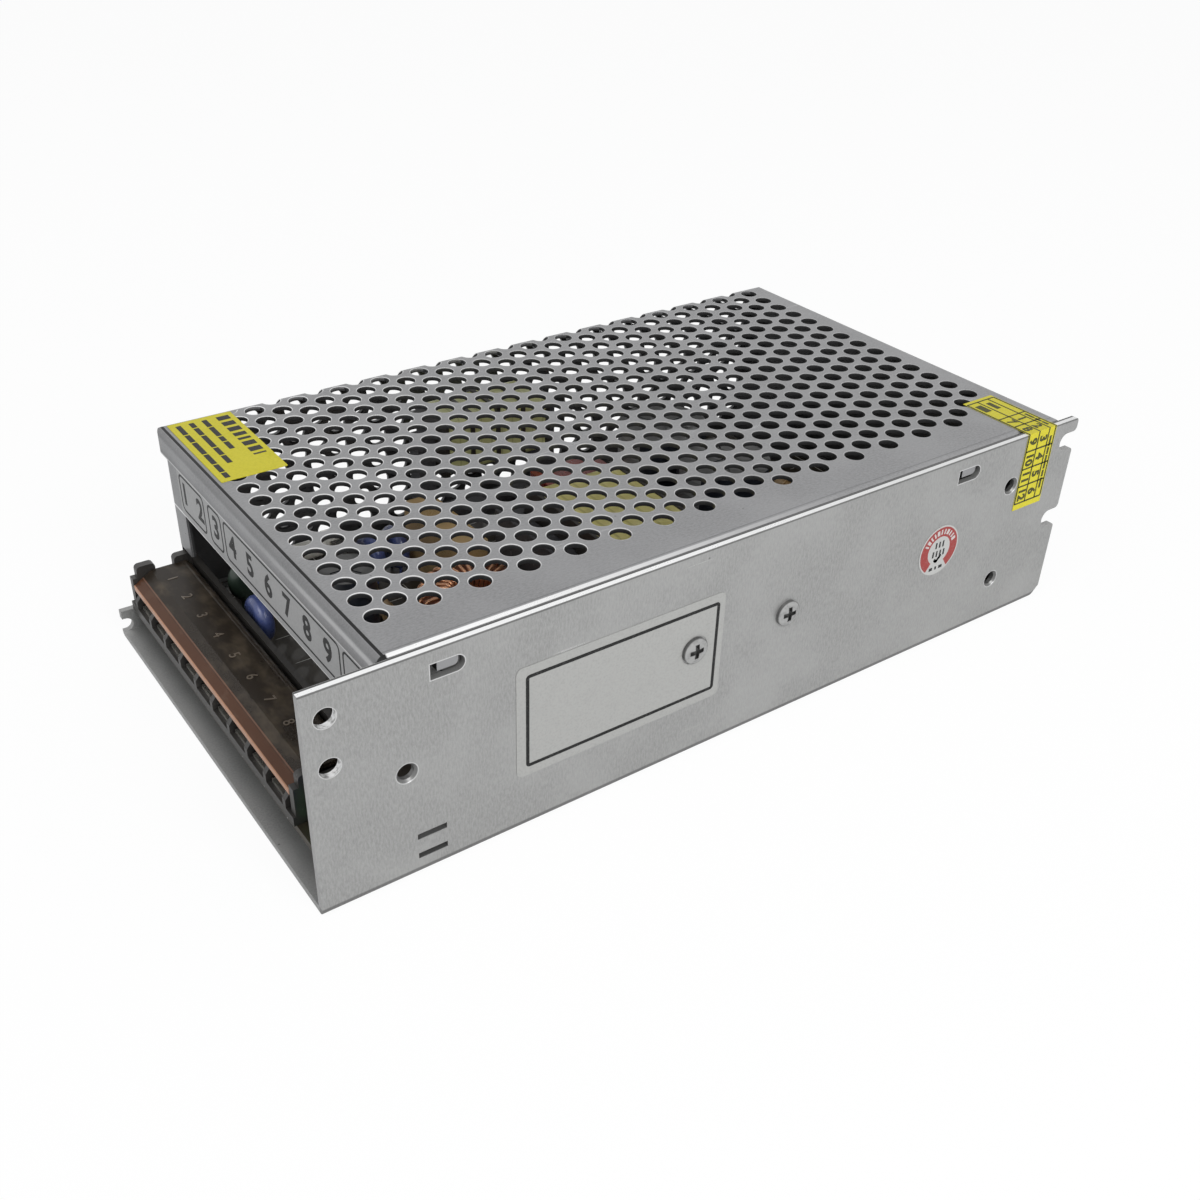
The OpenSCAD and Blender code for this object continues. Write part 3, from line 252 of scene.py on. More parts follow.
class Paint:
    """The nodes of one finish, or of the sky. Lengths in its methods are in millimetres."""

    def __init__(self, name, kind="materials", output="OutputMaterial"):
        self.owner = getattr(bpy.data, kind).new(name)
        self.owner.use_nodes = True
        self.tree = self.owner.node_tree
        self.tree.nodes.clear()
        self.output = self.tree.nodes.new("ShaderNode" + output)

    def node(self, kind, settings=None, sockets=None, output=0):
        """Adds a node, its settings first and then its sockets' values or links."""
        made = self.tree.nodes.new("ShaderNode" + kind)
        for name, value in (settings or {}).items():
            setattr(made, name, value)
        for key, value in (sockets or {}).items():
            if isinstance(value, Wire):
                self.tree.links.new(value.socket, made.inputs[key])
            else:
                made.inputs[key].default_value = value
        return Wire(self, made.outputs[output])

    def math(self, operation, first, second=0.0):
        return self.node("Math", {"operation": operation}, {0: first, 1: second})

    def point(self, stretch=(1, 1, 1)):
        """The surface point in the object's own millimetres, stretched along its axes."""
        coordinates = self.node("TexCoord", output="Object")
        scale = tuple(s / MM for s in stretch)
        return self.node("Mapping", None, {"Vector": coordinates, "Scale": scale})

    def axes(self):
        """The surface point's three coordinates in millimetres."""
        point = self.point()
        return [self.node("SeparateXYZ", None, {0: point}, output=i) for i in range(3)]

    def noise(self, size, detail=2.0, stretch=(1, 1, 1), rough=0.5):
        """Cloudy values from 0 to 1, with blotches of about that size."""
        sockets = {"Vector": self.point(stretch), "Scale": 1 / size, "Detail": detail, "Roughness": rough}
        return self.node("TexNoise", None, sockets)

    def cells(self, size):
        """Distance from the nearest of many scattered points of about that spacing."""
        return self.node("TexVoronoi", None, {"Vector": self.point(), "Scale": 1 / size})

    def from_points(self, across, up, points):
        """Distance from the rim of the nearest of some circles, in one plane."""
        nearest = None
        for u, v, radius in points:
            du, dv = across - u, up - v
            away = (du * du + dv * dv).root() - radius
            nearest = away if nearest is None else nearest.lowest(away)
        return nearest

    def mix(self, first, second, factor):
        """A colour between two."""
        first, second = (c if isinstance(c, Wire) else (*c, 1.0) for c in (first, second))
        return self.node("Mix", {"data_type": "RGBA"}, {0: factor, 6: first, 7: second}, output=2)

    def shade(self, colour, amount, factor):
        """The colour made darker or brighter by that share, where factor is 1."""
        return self.mix(colour, times(colour, 1 + amount), factor)

    def layers(self, tone, *layers):
        """The tone with further colours over it, each as strong as the factor beside it."""
        for colour, factor in layers:
            tone = self.mix(tone, colour, factor)
        return tone

    def close(self, shader):
        """Ends in that shader."""
        self.tree.links.new(shader.socket, self.output.inputs["Surface"])
        return self.owner

    def surface(self, tone, roughness, bump, **more):
        """Ends in the main shader, its further sockets named with _ for a space.

        The bump is a height from 0 to 1, its depth in millimetres and its strength.
        """
        height, distance, strength = bump
        sockets = {"Height": height, "Distance": distance * MM, "Strength": strength}
        named = {"Base Color": tone, "Roughness": roughness, "Normal": self.node("Bump", None, sockets)}
        named.update((name.replace("_", " "), value) for name, value in more.items())
        return self.close(self.node("BsdfPrincipled", None, named))


# Finishes


def band(value, low, high, soft=0.08):
    """1 from low to high and 0 outside, with soft ends."""
    return value.between(low - soft, low + soft) * (1 - value.between(high - soft, high + soft))


def plated(paint, colour, streak):
    """Tone, roughness and height of plated sheet: fine grain along the streaks, blotches and scratches."""
    speckle = paint.noise(0.42, 3.0, streak, 0.75)
    blotch = paint.noise(16.0, 3.0)
    smear = paint.noise(9.0, 4.0, (0.25, 1, 1), 0.6)
    scratch = paint.noise(1.1, 1.0, (0.03, 1, 1)).between(0.735, 0.76) * blotch.between(0.45, 0.6)
    specks = (1 - paint.cells(8.0).between(0.02, 0.04)) * blotch.between(0.48, 0.56)
    tone = paint.layers(
        paint.shade(colour, -0.26, speckle.between(0.3, 0.75)),
        (times(colour, 1.1), blotch.between(0.35, 0.7) * 0.5),
        (times(colour, 1.7), scratch * 0.45),
        (times(colour, 0.35), specks * 0.7),
    )
    roughness = 0.4 + (speckle - 0.5) * 0.16 + (smear - 0.5) * 0.2 - scratch * 0.15
    height = speckle * 0.8 + smear * 0.2 - scratch
    return tone, roughness, height


def chassis_sheet(colour, bright):
    """Chassis sheet: bright cut edges and hole rims with painted highlights, and painted shade: a dark line
    under the top edge and along the foot, in hollows and inside.
    """
    paint = Paint("chassis_sheet")
    x, y, z = paint.axes()
    tone, roughness, height = plated(paint, colour, (1, 1, 0.3))
    outer = 1 - y.between(NEAR + 0.05, NEAR + 0.1)
    from_plain = paint.from_points(x, z, PLAIN_HOLES)
    from_tapped = paint.from_points(x, z, TAPPED_HOLES)
    # Painted highlights round the rims of the holes and tab slots
    rims = (1 - from_plain.between(0.05, 0.2)).highest(1 - from_tapped.between(0.05, 0.2))
    for slot_x, slot_z in TAB_SLOTS:
        behind, up = (x - slot_x - SLOT_REAR).highest(0), z - slot_z
        away = (behind * behind + up * up).root() - SLOT_R
        away = away.highest(slot_x - SLOT_FRONT - x)
        rims = rims.highest(1 - away.between(0.1, 0.28))
    # Painted shade in the tapped holes' sinks and in the lances
    sunk = 1 - from_tapped.between(-0.15, 0.1)
    for lance_x, lance_z in LANCES:
        in_lance = (abs(x - lance_x) < LANCE_HALF[0]) * (abs(z - lance_z) < LANCE_HALF[1])
        sunk = sunk.highest(in_lance * (y > NEAR + 0.12))
    # Painted highlight on the bores of the plain holes
    bore = (1 - from_plain.between(0.05, 0.15)) * (y > NEAR + 0.1) * (y < NEAR + SHEET + 0.1)
    # Painted shade along the foot
    foot = (1 - z.between(FLOOR_TOP - 0.15, FLOOR_TOP + 0.25)) * (y < NEAR + SHEET - 0.2)
    # Painted shade on the faces inside the case
    inside = (y > NEAR + SHEET - 0.1) * (x > LIP) * (z > FLOOR_TOP - 0.05)
    # The cut top edge is bright, with a painted highlight that grows towards the front
    top_edge = z.between(TOP - 0.06, TOP - 0.02) * (1 - y.between(NEAR + 0.9, NEAR + 1.1))
    dark = times(colour, 0.3)
    tone = paint.layers(
        tone,
        (bright, rims * outer * 0.45),
        (dark, sunk * (y < NEAR + SHEET - 0.05) * 0.75),
        (bright, bore * paint.noise(0.9, 2.0).between(0.3, 0.6) * 0.75),
        # Painted shade as a dark line under the top edge on the outer face
        (dark, band(z, TOP - 0.5, TOP - 0.15) * outer * 0.8),
        (dark, foot * 0.75),
        # Painted shade on the top edge where the seam by the cover runs
        (times(colour, 0.12), band(y, NEAR + 0.95, NEAR + 1.4) * (z > TOP - 0.5) * 0.9),
        (dark, inside * 0.7),
        (bright, top_edge * (0.7 + (1 - x.between(-40, 60)) * 0.3)),
    )
    return paint.surface(tone, roughness - top_edge * 0.1, (height, 0.018, 0.6), Metallic=0.5)


def from_hole(along, path):
    """Distance from the middle of the nearest perforation. Every other row is shifted by half a pitch."""
    dx, dy = along.from_multiple(HOLE_ROW), path.from_multiple(HOLE_PITCH / 2)
    ex, ey = HOLE_ROW - dx, HOLE_PITCH / 2 - dy
    return (dx * dx + dy * dy).lowest(ex * ex + ey * ey).root()


def hole_rows(x, y, z):
    """Lengths from the first hole along X and over the far bend, and 1 where there are perforations."""
    bend_y = COVER_FAR - BEND
    arc = (BEND - 0.5) * math.pi / 2
    turned = (y - bend_y).highest(0) + (TOP - z).highest(0).lowest(BEND)
    path = y.lowest(bend_y) - HOLE_Y0 + (TOP - BEND - z).highest(0)
    path = path + turned * (arc / (2 * BEND)) * y.between(bend_y - 1.2, bend_y - 1.0)
    along = x - HOLE_X0
    corner = along * (1 / HOLE_ROW) - path * (2 / HOLE_PITCH)
    even_row = along.from_multiple(HOLE_ROW) < HOLE_ROW / 2
    first = (path > 0.2).highest(even_row)
    last = (path < HOLE_PATH - 0.5).highest(even_row * (path < HOLE_PATH + HOLE_R + 0.3))
    on_side = path > bend_y - HOLE_Y0
    there = (corner < HOLE_ROWS - 3) * (path > -HOLE_R - 0.4) * first * last
    there = there * (abs(along - ROWS_MIDDLE) < ROWS_REACH)
    there = there * (1 - on_side * (along < (SOLID_ROWS - 0.5) * HOLE_ROW))
    return along, path, there


def hole_layers(x, y, z, dark, bright):
    """Layers for the perforations: painted shade in the bores, and painted highlights on the rims that are
    brightest by the terminals.
    """
    along, path, there = hole_rows(x, y, z)
    centre = from_hole(along, path)
    over_y, over_z = (y - (COVER_FAR - BEND)).highest(0), (z - (TOP - BEND)).highest(0)
    face = (over_y * over_y + over_z * over_z).root().between(BEND - 0.16, BEND - 0.08)
    bore = (1 - centre.between(HOLE_R + 0.02, HOLE_R + 0.06)) * (1 - face) * there
    front = 1 - x.between(-75, 40)
    rim = band(centre, HOLE_R - 0.1, HOLE_R + 0.2, 0.06) * (0.06 + front * 0.12)
    # A lit crescent on one side of each rim, painted as highlight
    crescent = from_hole(along - 0.1, path - 0.17)
    lit = band(crescent, HOLE_R - 0.3, HOLE_R + 0.1, 0.05) * (centre > HOLE_R - 0.05)
    rim = rim.highest(lit * (0.25 + front * 0.65))
    return (dark, bore * 0.9), (bright, rim * there * face)


def brow_layers(x, y, z, colour, bright):
    """Layers for the brow over the terminals and for the label strip under it: painted shade in the folds,
    under the brow and in the corner notch, and painted highlights and sheen.
    """
    dark, black = times(colour, 0.12), times(colour, 0.02)
    brow = x - BROW
    face = 1 - brow.between(0.85, 0.95)
    under = (1 - z.between(TOP - 5.4, TOP - 3.6)) * (z > TOP - 5.65)
    fold = z.between(TOP - 2.2, TOP - 1.3) * 0.35 + under * 0.45
    sheen = band(z, TOP - 3.3, TOP - 2.0, 0.4) * (1 - y.between(-50, 20))
    notch = (1 - brow.between(1.7, 2.1)) * (1 - (y - COVER_NEAR).between(1.3, 1.6)) * (z > TOP - 5.0)
    strip = 1 - x.between(LIP + 0.05, LIP + 0.15)
    # Painted shade: a black line at the top bend, fold and under-brow bands, the corner notch and a shadow
    # line on the strip; painted highlights: the sheen and the lower edges of brow and strip
    return (
        (black, band(brow, 1.0, 1.55, 0.05) * z.between(TOP - 1.3, TOP - 0.9)),
        (times(colour, 0.4), face * fold),
        (bright, face * sheen * 0.4),
        (bright, band(z, TOP - 6.0, TOP - 5.65) * face * 0.45),
        (black, notch),
        (dark, band(z, TOP - 6.6, TOP - 6.05) * strip * 0.8),
        (bright, band(z, STRIP_LOW - 0.1, STRIP_LOW + 0.42) * strip * 0.8),
    )


def cover_sheet(colour, bright):
    """Cover sheet: pale rims round the perforations and a bright near bend, both painted highlight, and
    painted shade at the brow's folds, the seam and inside.
    """
    paint = Paint("cover_sheet")
    x, y, z = paint.axes()
    tone, roughness, height = plated(paint, colour, (0.5, 1, 1))
    dark = times(colour, 0.12)
    # Painted shade on the inner faces
    inside = (y > COVER_NEAR + 1.05) * (y < COVER_FAR - 0.5) * (z < TOP - 0.5)
    inside = inside * (x > LIP + 0.5) * (x < REAR_INSIDE)
    # A highlight is painted on the near bend, fading towards the rear, and painted shade on the seam
    # between it and the wall
    in_bend = y - COVER_NEAR
    bend_highlight = band(in_bend, 0.72, 1.42, 0.1) * z.between(TOP - 2, TOP - 1) * (x > LIP)
    bend_highlight = bend_highlight * (0.04 + (1 - x.between(-70, 30)) * 0.92)
    seam = 1 - in_bend.between(0.55, 0.75)
    tab_face = (y < NEAR + 0.72) * (z < TOP - 3)
    tone = paint.layers(
        tone,
        (dark, inside * 0.75),
        *hole_layers(x, y, z, dark, bright),
        (bright, bend_highlight),
        (dark, seam * (1 - z.between(TOP - 0.15, TOP - 0.05)) * 0.95),
        # Painted shade as a thin line where the near bend meets the top
        (dark, band(in_bend, 1.8, 2.05, 0.1) * z.between(TOP - 0.2, TOP - 0.1) * 0.35),
        (colour, tab_face),
        *brow_layers(x, y, z, colour, bright),
    )
    return paint.surface(tone, roughness - bend_highlight * 0.12, (height, 0.018, 0.6), Metallic=0.5)


def bright_metal(name, colour, rough):
    """Plated screws, clips and plates with turned marks and a few dull spots."""
    paint = Paint(name)
    cloud = paint.noise(1.8, 4.0, rough=0.6)
    fine = paint.noise(0.16, 2.0)
    spots = paint.cells(2.6).between(0.12, 0.3)
    tone = paint.shade(colour, -0.35, cloud.between(0.42, 0.7))
    tone = paint.mix(times(colour, 0.62), tone, spots)
    roughness = rough + (cloud - 0.5) * 0.22 + (1 - spots) * 0.12
    return paint.surface(tone, roughness, (fine + cloud, 0.012, 0.5), Metallic=0.9)


def cross_heads(name, colour, places):
    """Plated heads on a wall that faces -Y, at places in X and Z, with painted shade in the cross and at
    the rim.
    """
    paint = Paint(name)
    x, _, z = paint.axes()
    cloud = paint.noise(1.8, 4.0, rough=0.6)
    fine = paint.noise(0.16, 2.0)
    away = paint.from_points(x, z, [(px, pz, 0.0) for px, pz in places])
    inner = None
    for px, pz in places:
        u, v = abs(x - px), abs(z - pz)
        arm = (1 - u.highest(v).between(1.68, 1.8)) * (1 - u.lowest(v).between(0.48, 0.6))
        inner = arm if inner is None else inner.highest(arm)
    tone = paint.layers(
        paint.shade(colour, -0.3, cloud.between(0.42, 0.7)),
        # Painted shade in the cross recess, and round the rim where the head meets the wall
        (times(colour, 0.12), inner * 0.9),
        (times(colour, 0.3), away.between(2.75, 2.95) * 0.8),
    )
    roughness = 0.38 + (cloud - 0.5) * 0.2 + inner * 0.1
    return paint.surface(tone, roughness, (fine + cloud, 0.012, 0.5), Metallic=0.6)


def moulded(name, colour, rough=0.42, grain=0.22, dust=0.12, coat=0.0):
    """Moulded plastic with a fine eroded texture, flow marks and a little dust."""
    paint = Paint(name)
    fine = paint.noise(grain, 2.0)
    flow = paint.noise(7.0, 2.0, (0.5, 1, 1.6))
    specks = paint.cells(1.7).between(0.05, 0.14)
    tone = paint.shade(colour, 0.35, flow.between(0.4, 0.75))
    tone = paint.mix(tone, times(colour, 0.6, 0.22), (1 - specks) * dust)
    roughness = rough + (fine - 0.5) * 0.18 + (flow - 0.5) * 0.12
    bump = (fine * 0.7 + flow * 0.3, 0.02, 0.7)
    return paint.surface(tone, roughness, bump, Coat_Weight=coat, Coat_Roughness=0.18)


def sintered(name, colour):
    """Pressed and fired ferrite: dull, grainy, chipped to a lighter grey here and there."""
    paint = Paint(name)
    grain = paint.noise(0.35, 4.0, rough=0.65)
    chips = paint.noise(2.4, 2.0).between(0.66, 0.7)
    tone = paint.shade(colour, 0.45, grain.between(0.4, 0.7))
    tone = paint.mix(tone, times(colour, 1, 0.1), chips * 0.6)
    roughness = 0.62 + (grain - 0.5) * 0.2 - chips * 0.15
    return paint.surface(tone, roughness, (grain - chips * 0.5, 0.05, 0.8), Metallic=0.1)


def coil_tape(name, colour, lap):
    """Polyester tape wound in laps across the X axis, with trapped ripples."""
    paint = Paint(name)
    across = paint.axes()[0]
    laps = (across * (2 * math.pi / lap)).wave().between(0.86, 0.99)
    ripple = paint.noise(2.2, 2.0, (0.5, 1.4, 1.4))
    stain = paint.noise(5.0, 3.0)
    tone = paint.shade(colour, -0.32, laps * 0.7)
    tone = paint.mix(tone, times(colour, 0.6), stain.between(0.5, 0.8) * 0.6)
    roughness = 0.27 + ripple * 0.2 + laps * 0.1
    bump = (ripple * 0.7 + laps * 0.5, 0.09, 0.7)
    return paint.surface(tone, roughness, bump, Coat_Weight=0.35, Coat_Roughness=0.12)


def enamelled_copper():
    """Copper wire under clear enamel, with darker baked patches."""
    paint = Paint("enamelled_copper")
    cloud = paint.noise(3.0, 3.0)
    fine = paint.noise(0.4, 2.0)
    tone = paint.shade((0.8, 0.4, 0.22), -0.45, cloud.between(0.45, 0.75))
    enamel = {"Coat_Weight": 0.7, "Coat_Roughness": 0.1}
    return paint.surface(tone, 0.24 + cloud * 0.14, (fine, 0.01, 0.5), Metallic=0.85, **enamel)


def shrink_sleeve(name, colour, stripe):
    """Printed shrink sleeve on a can, bare metal on its top, with a pale polarity stripe."""
    paint = Paint(name)
    z = paint.axes()[2]
    facing = paint.node("NewGeometry", output="Normal")
    out_x, out_z = (paint.node("SeparateXYZ", None, {0: facing}, output=i) for i in (0, 2))
    top = out_z.between(0.8, 0.95)
    mottle = paint.noise(1.6, 3.0)
    creases = paint.noise(3.0, 2.0, (1, 1, 0.2)).between(0.6, 0.75)
    dashes = (z * (2 * math.pi / 4.2)).wave() > 0.2
    side = (out_x < -0.93) * (1 - top)
    tone = paint.layers(
        paint.shade(colour, 0.6, mottle.between(0.4, 0.7)),
        (stripe, side * (0.55 + dashes * 0.3)),
        ((0.2, 0.2, 0.195), top * (0.6 + mottle * 0.4)),
    )
    roughness = 0.28 + mottle * 0.12 + top * 0.08
    bump = (creases * 0.5 + mottle * 0.3, 0.05, 0.6)
    return paint.surface(tone, roughness, bump, Metallic=top * 0.85, Coat_Weight=0.25)


def dipped(name, colour, gloss=0.2):
    """Dipped coating with soft orange peel, thin at the rim."""
    paint = Paint(name)
    peel = paint.noise(0.9, 2.0)
    pool = paint.noise(4.0, 2.0)
    tone = paint.shade(colour, -0.35, pool.between(0.35, 0.7))
    tone = paint.mix(tone, times(colour, 1.4, 0.03), peel.between(0.6, 0.8) * 0.4)
    bump = (peel * 0.7 + pool * 0.3, 0.05, 0.7)
    return paint.surface(tone, gloss + peel * 0.18, bump, Coat_Weight=0.4, Coat_Roughness=0.15)


def board_laminate():
    """Paper laminate with its fibres, a lacquered sheen and white marks under the parts."""
    paint = Paint("board_laminate")
    x, y, _ = paint.axes()
    fibres = paint.noise(0.8, 3.0, (1, 0.15, 1))
    cloud = paint.noise(10.0, 2.0)
    colour = (0.04, 0.032, 0.02)
    tone = paint.shade(colour, -0.4, fibres.between(0.35, 0.75))
    tone = paint.mix(tone, times(colour, 1.3), cloud.between(0.4, 0.7) * 0.6)
    grid_x = abs((x * (math.pi / 13.0)).wave()).between(0.02, 0.045)
    grid_y = abs((y * (math.pi / 11.0)).wave()).between(0.02, 0.045)
    patch = paint.noise(15.0, 0.0).between(0.5, 0.53)
    marks = (1 - grid_x.lowest(grid_y)) * patch
    tone = paint.mix(tone, (0.78, 0.78, 0.74), marks * 0.8)
    bump = (fibres * 0.6 + marks * 0.4, 0.015, 0.6)
    return paint.surface(tone, 0.34 + fibres * 0.15, bump, Coat_Weight=0.25)


def thin_film(name, colour, rough):
    """Thin insulating sheet with shallow dents and a soft sheen."""
    paint = Paint(name)
    dents = paint.noise(12.0, 2.0)
    haze = paint.noise(1.2, 2.0)
    tone = paint.shade(colour, -0.12, dents.between(0.4, 0.7))
    return paint.surface(tone, rough + haze * 0.15, (dents + haze * 0.1, 0.12, 0.6))


def printed_paper(name, colour, dirt=0.18):
    """Coated label stock with faint fibres, handling dirt and a slight curl of sheen."""
    paint = Paint(name)
    fibres = paint.noise(0.5, 3.0, rough=0.6)
    dirt_map = paint.noise(6.0, 4.0, rough=0.6).between(0.52, 0.75)
    tone = paint.shade(colour, -0.1, fibres.between(0.4, 0.75))
    tone = paint.mix(tone, times(colour, 0.62), dirt_map * dirt)
    roughness = 0.36 + fibres * 0.16 + dirt_map * 0.1
    return paint.surface(tone, roughness, (fibres, 0.012, 0.6), Specular_IOR_Level=0.25)


def printing_ink(name, colour):
    """Screened ink, a little worn and patchy."""
    paint = Paint(name)
    patch = paint.noise(0.6, 3.0)
    tone = paint.mix(colour, times(colour, 1, 0.03), patch.between(0.5, 0.75))
    return paint.surface(tone, 0.4 + patch * 0.2, (patch, 0.006, 0.5), Specular_IOR_Level=0.2)


def seal_paper(red, pale, centre, radius):
    """Round seal: a pale rim and middle, and a red ring that is open at the bottom."""
    paint = Paint("seal_paper")
    x, _, z = paint.axes()
    fibres = paint.noise(0.5, 3.0, rough=0.6)
    across, up = x - centre.x / MM, z - centre.z / MM
    away = (across * across + up * up).root()
    ring = band(away, radius * 0.56, radius * 0.94, 0.06)
    opening = (1 - (abs(across) + up * 0.7).between(-0.1, 0.1)) * (up < 0)
    tone = paint.mix(pale, red, ring * (1 - opening))
    tone = paint.mix(tone, times(pale, 0.7), fibres.between(0.45, 0.8) * 0.25)
    return paint.surface(tone, 0.38 + fibres * 0.16, (fibres, 0.012, 0.6), Specular_IOR_Level=0.25)


def smoky_clear(colour, glow):
    """Clear smoky plastic with a painted glow in its front flap and rim and a painted highlight on its
    fold, with moulding haze and scuffs.
    """
    paint = Paint("smoky_clear")
    x = paint.axes()[0]
    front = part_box("terminal_cover")[0].x / MM
    fold = front + 2.3
    flap = 1 - x.between(fold - 0.5, fold + 0.1)
    crease = band(x, fold - 0.15, fold + 0.1, 0.06)
    rim = 1 - x.between(front + 0.12, front + 0.3)
    scuff = paint.noise(2.6, 4.0, (1, 0.35, 1), 0.6).between(0.56, 0.74)
    haze = paint.noise(18.0, 2.0)
    smoke = paint.noise(6.0, 3.0, (1, 0.6, 1), 0.6)
    tone = paint.layers(
        colour,
        ((0.1, 0.078, 0.055), smoke.between(0.48, 0.72) * 0.75),
        # Painted glow in the flap, a painted highlight along the fold and a painted glow along the front
        # rim
        (glow, flap * 0.85),
        (times(glow, 2.2, 0.04), crease * 0.6),
        ((0.45, 0.24, 0.15), rim),
        ((0.2, 0.17, 0.14), scuff * 0.12),
    )
    alpha = 0.86 + flap * 0.06 + crease * 0.05 + rim * 0.08 + scuff * 0.04 + (haze - 0.5) * 0.06
    bump = (haze + scuff * 0.04, 0.25, 0.4)
    return paint.surface(tone, 0.28 + scuff * 0.2, bump, Alpha=alpha, Specular_IOR_Level=0.18)


def lens_plastic(name, colour):
    """Tinted diffuse lens."""
    paint = Paint(name)
    cloud = paint.noise(0.8, 2.0)
    tone = paint.shade(colour, 0.4, cloud.between(0.4, 0.7))
    return paint.surface(tone, 0.16 + cloud * 0.1, (cloud, 0.01, 0.5), Coat_Weight=0.5)


# Modelling


def clear_selection():
    if bpy.context.mode != "OBJECT":
        bpy.ops.object.mode_set(mode="OBJECT")
    bpy.ops.object.select_all(action="DESELECT")


def take(piece):
    """Makes piece the only selected object."""
    clear_selection()
    piece.select_set(True)
    bpy.context.view_layer.objects.active = piece
    return piece


@contextmanager
def editing(piece):
    """Edit mode on piece, with nothing selected at first."""
    take(piece)
    bpy.ops.object.mode_set(mode="EDIT")
    bpy.ops.mesh.select_all(action="DESELECT")
    yield piece
    bpy.ops.object.mode_set(mode="OBJECT")


def primitive(kind, **sizes):
    """A new primitive, alone in the selection, with its scale applied."""
    clear_selection()
    getattr(bpy.ops.mesh, "primitive_" + kind + "_add")(**sizes)
    bpy.ops.object.transform_apply()
    return bpy.context.active_object


def seat(piece, right, up, place):
    """Lays a piece made flat at the origin on a face: right and up are its own X and Y there."""
    out = right.cross(up)
    turned = Matrix((right, up, out)).transposed().to_4x4()
    piece.matrix_world = Matrix.Translation(place) @ turned
    take(piece)
    bpy.ops.object.transform_apply()
    return piece


def make_piece(name, parts, material, body):
    """Joins the parts into one piece, with its finish and the body that it moves with."""
    clear_selection()
    for part in parts:
        part.select_set(True)
    piece = bpy.context.view_layer.objects.active = parts[0]
    if len(parts) > 1:
        bpy.ops.object.join()
    piece.name = piece.data.name = name
    piece.data.materials.clear()
    piece.data.materials.append(material)
    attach(piece, body)
    return piece


def paint_nodes(material, *nodes):
    """Puts a finish on CAD nodes."""
    for node in nodes:
        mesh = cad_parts[node].data
        mesh.materials.clear()
        mesh.materials.append(material)


@contextmanager
def rounded_plane(width, height, corner, arc):
    """Edit mode on a new plane round the origin, all of it selected, its corners rounded."""
    plane = primitive("plane", size=1)
    with editing(plane):
        bpy.ops.mesh.select_all(action="SELECT")
        bpy.ops.transform.resize(value=(width, height, 1))
        if corner > 0:
            bpy.ops.mesh.bevel(offset=corner, segments=arc, affect="VERTICES")
        yield plane


def flat_plate(width, height, corner, arc, line=0.0):
    """A thin plate round the origin, or a frame if it has the width of a line."""
    with rounded_plane(width, height, corner, arc) as plate:
        if line > 0:
            bpy.ops.mesh.inset(thickness=line, use_even_offset=True)
            bpy.ops.mesh.delete(type="FACE")
            bpy.ops.mesh.select_all(action="SELECT")
        bpy.ops.mesh.extrude_region_move(TRANSFORM_OT_translate={"value": (0, 0, INK)})
        bpy.ops.mesh.select_all(action="SELECT")
        bpy.ops.mesh.normals_make_consistent(inside=False)
    return plate


def figure(text, size, thick, bold=0.0):
    """Plain figures as a thin solid, centred on the origin, with strokes fattened by bold."""
    clear_selection()
    bpy.ops.object.text_add()
    drawn = bpy.context.active_object
    drawn.data.body = text
    drawn.data.size = size
    drawn.data.align_x = drawn.data.align_y = "CENTER"
    drawn.data.resolution_u = 3
    drawn.data.offset = bold
    drawn.data.extrude = thick / 2
    drawn.location = (0, 0, thick / 2)
    bpy.ops.object.convert(target="MESH")
    bpy.ops.object.transform_apply()
    return bpy.context.active_object


def copy_of(piece):
    """A copy with its own mesh."""
    take(piece)
    bpy.ops.object.duplicate(linked=False)
    return bpy.context.active_object


def wire_loop(width, height, corner, wire):
    """One closed turn of round wire, upright in X and Z round the origin."""
    with rounded_plane(width, height, corner, 4) as loop:
        bpy.ops.mesh.delete(type="ONLY_FACE")
    take(loop)
    bpy.ops.object.convert(target="CURVE")
    loop.data.bevel_depth = wire
    loop.data.bevel_resolution = 2
    bpy.ops.object.convert(target="MESH")
    loop = bpy.context.active_object
    loop.matrix_world = Matrix.Rotation(math.pi / 2, 4, "X")
    bpy.ops.object.transform_apply()
    with editing(loop):
        bpy.ops.mesh.select_all(action="SELECT")
        bpy.ops.mesh.remove_doubles(threshold=1e-6)
        bpy.ops.mesh.normals_make_consistent(inside=False)
    bpy.ops.object.shade_smooth()
    return loop


# Stage


def area_lamp(name, place, power):
    """A soft round lamp that faces the case."""
    bpy.ops.object.light_add(type="AREA", location=place)
    lamp = bpy.context.active_object
    lamp.name = name
    lamp.data.shape = "DISK"
    lamp.data.size = LAMP_SIZE
    lamp.data.energy = power
    lamp.rotation_euler = (Vector(LAMP_AIM) - Vector(place)).to_track_quat("-Z", "Y").to_euler()


def make_camera(stage):
    """The camera at the photograph's angle."""
    place = Vector(stage.camera_place)
    bpy.ops.object.camera_add(location=place)
    camera = bpy.context.active_object
    camera.name = "camera"
    aim = (Vector(stage.camera_aim) - place).to_track_quat("-Z", "Y").to_matrix()
    turn = Matrix.Rotation(stage.camera_roll, 3, "Z")
    camera.rotation_euler = (aim @ turn).to_euler()
    camera.data.lens = stage.camera_lens
    camera.data.sensor_width = SENSOR_WIDTH
    camera.data.clip_start = CLIP_START
    bpy.context.scene.camera = camera


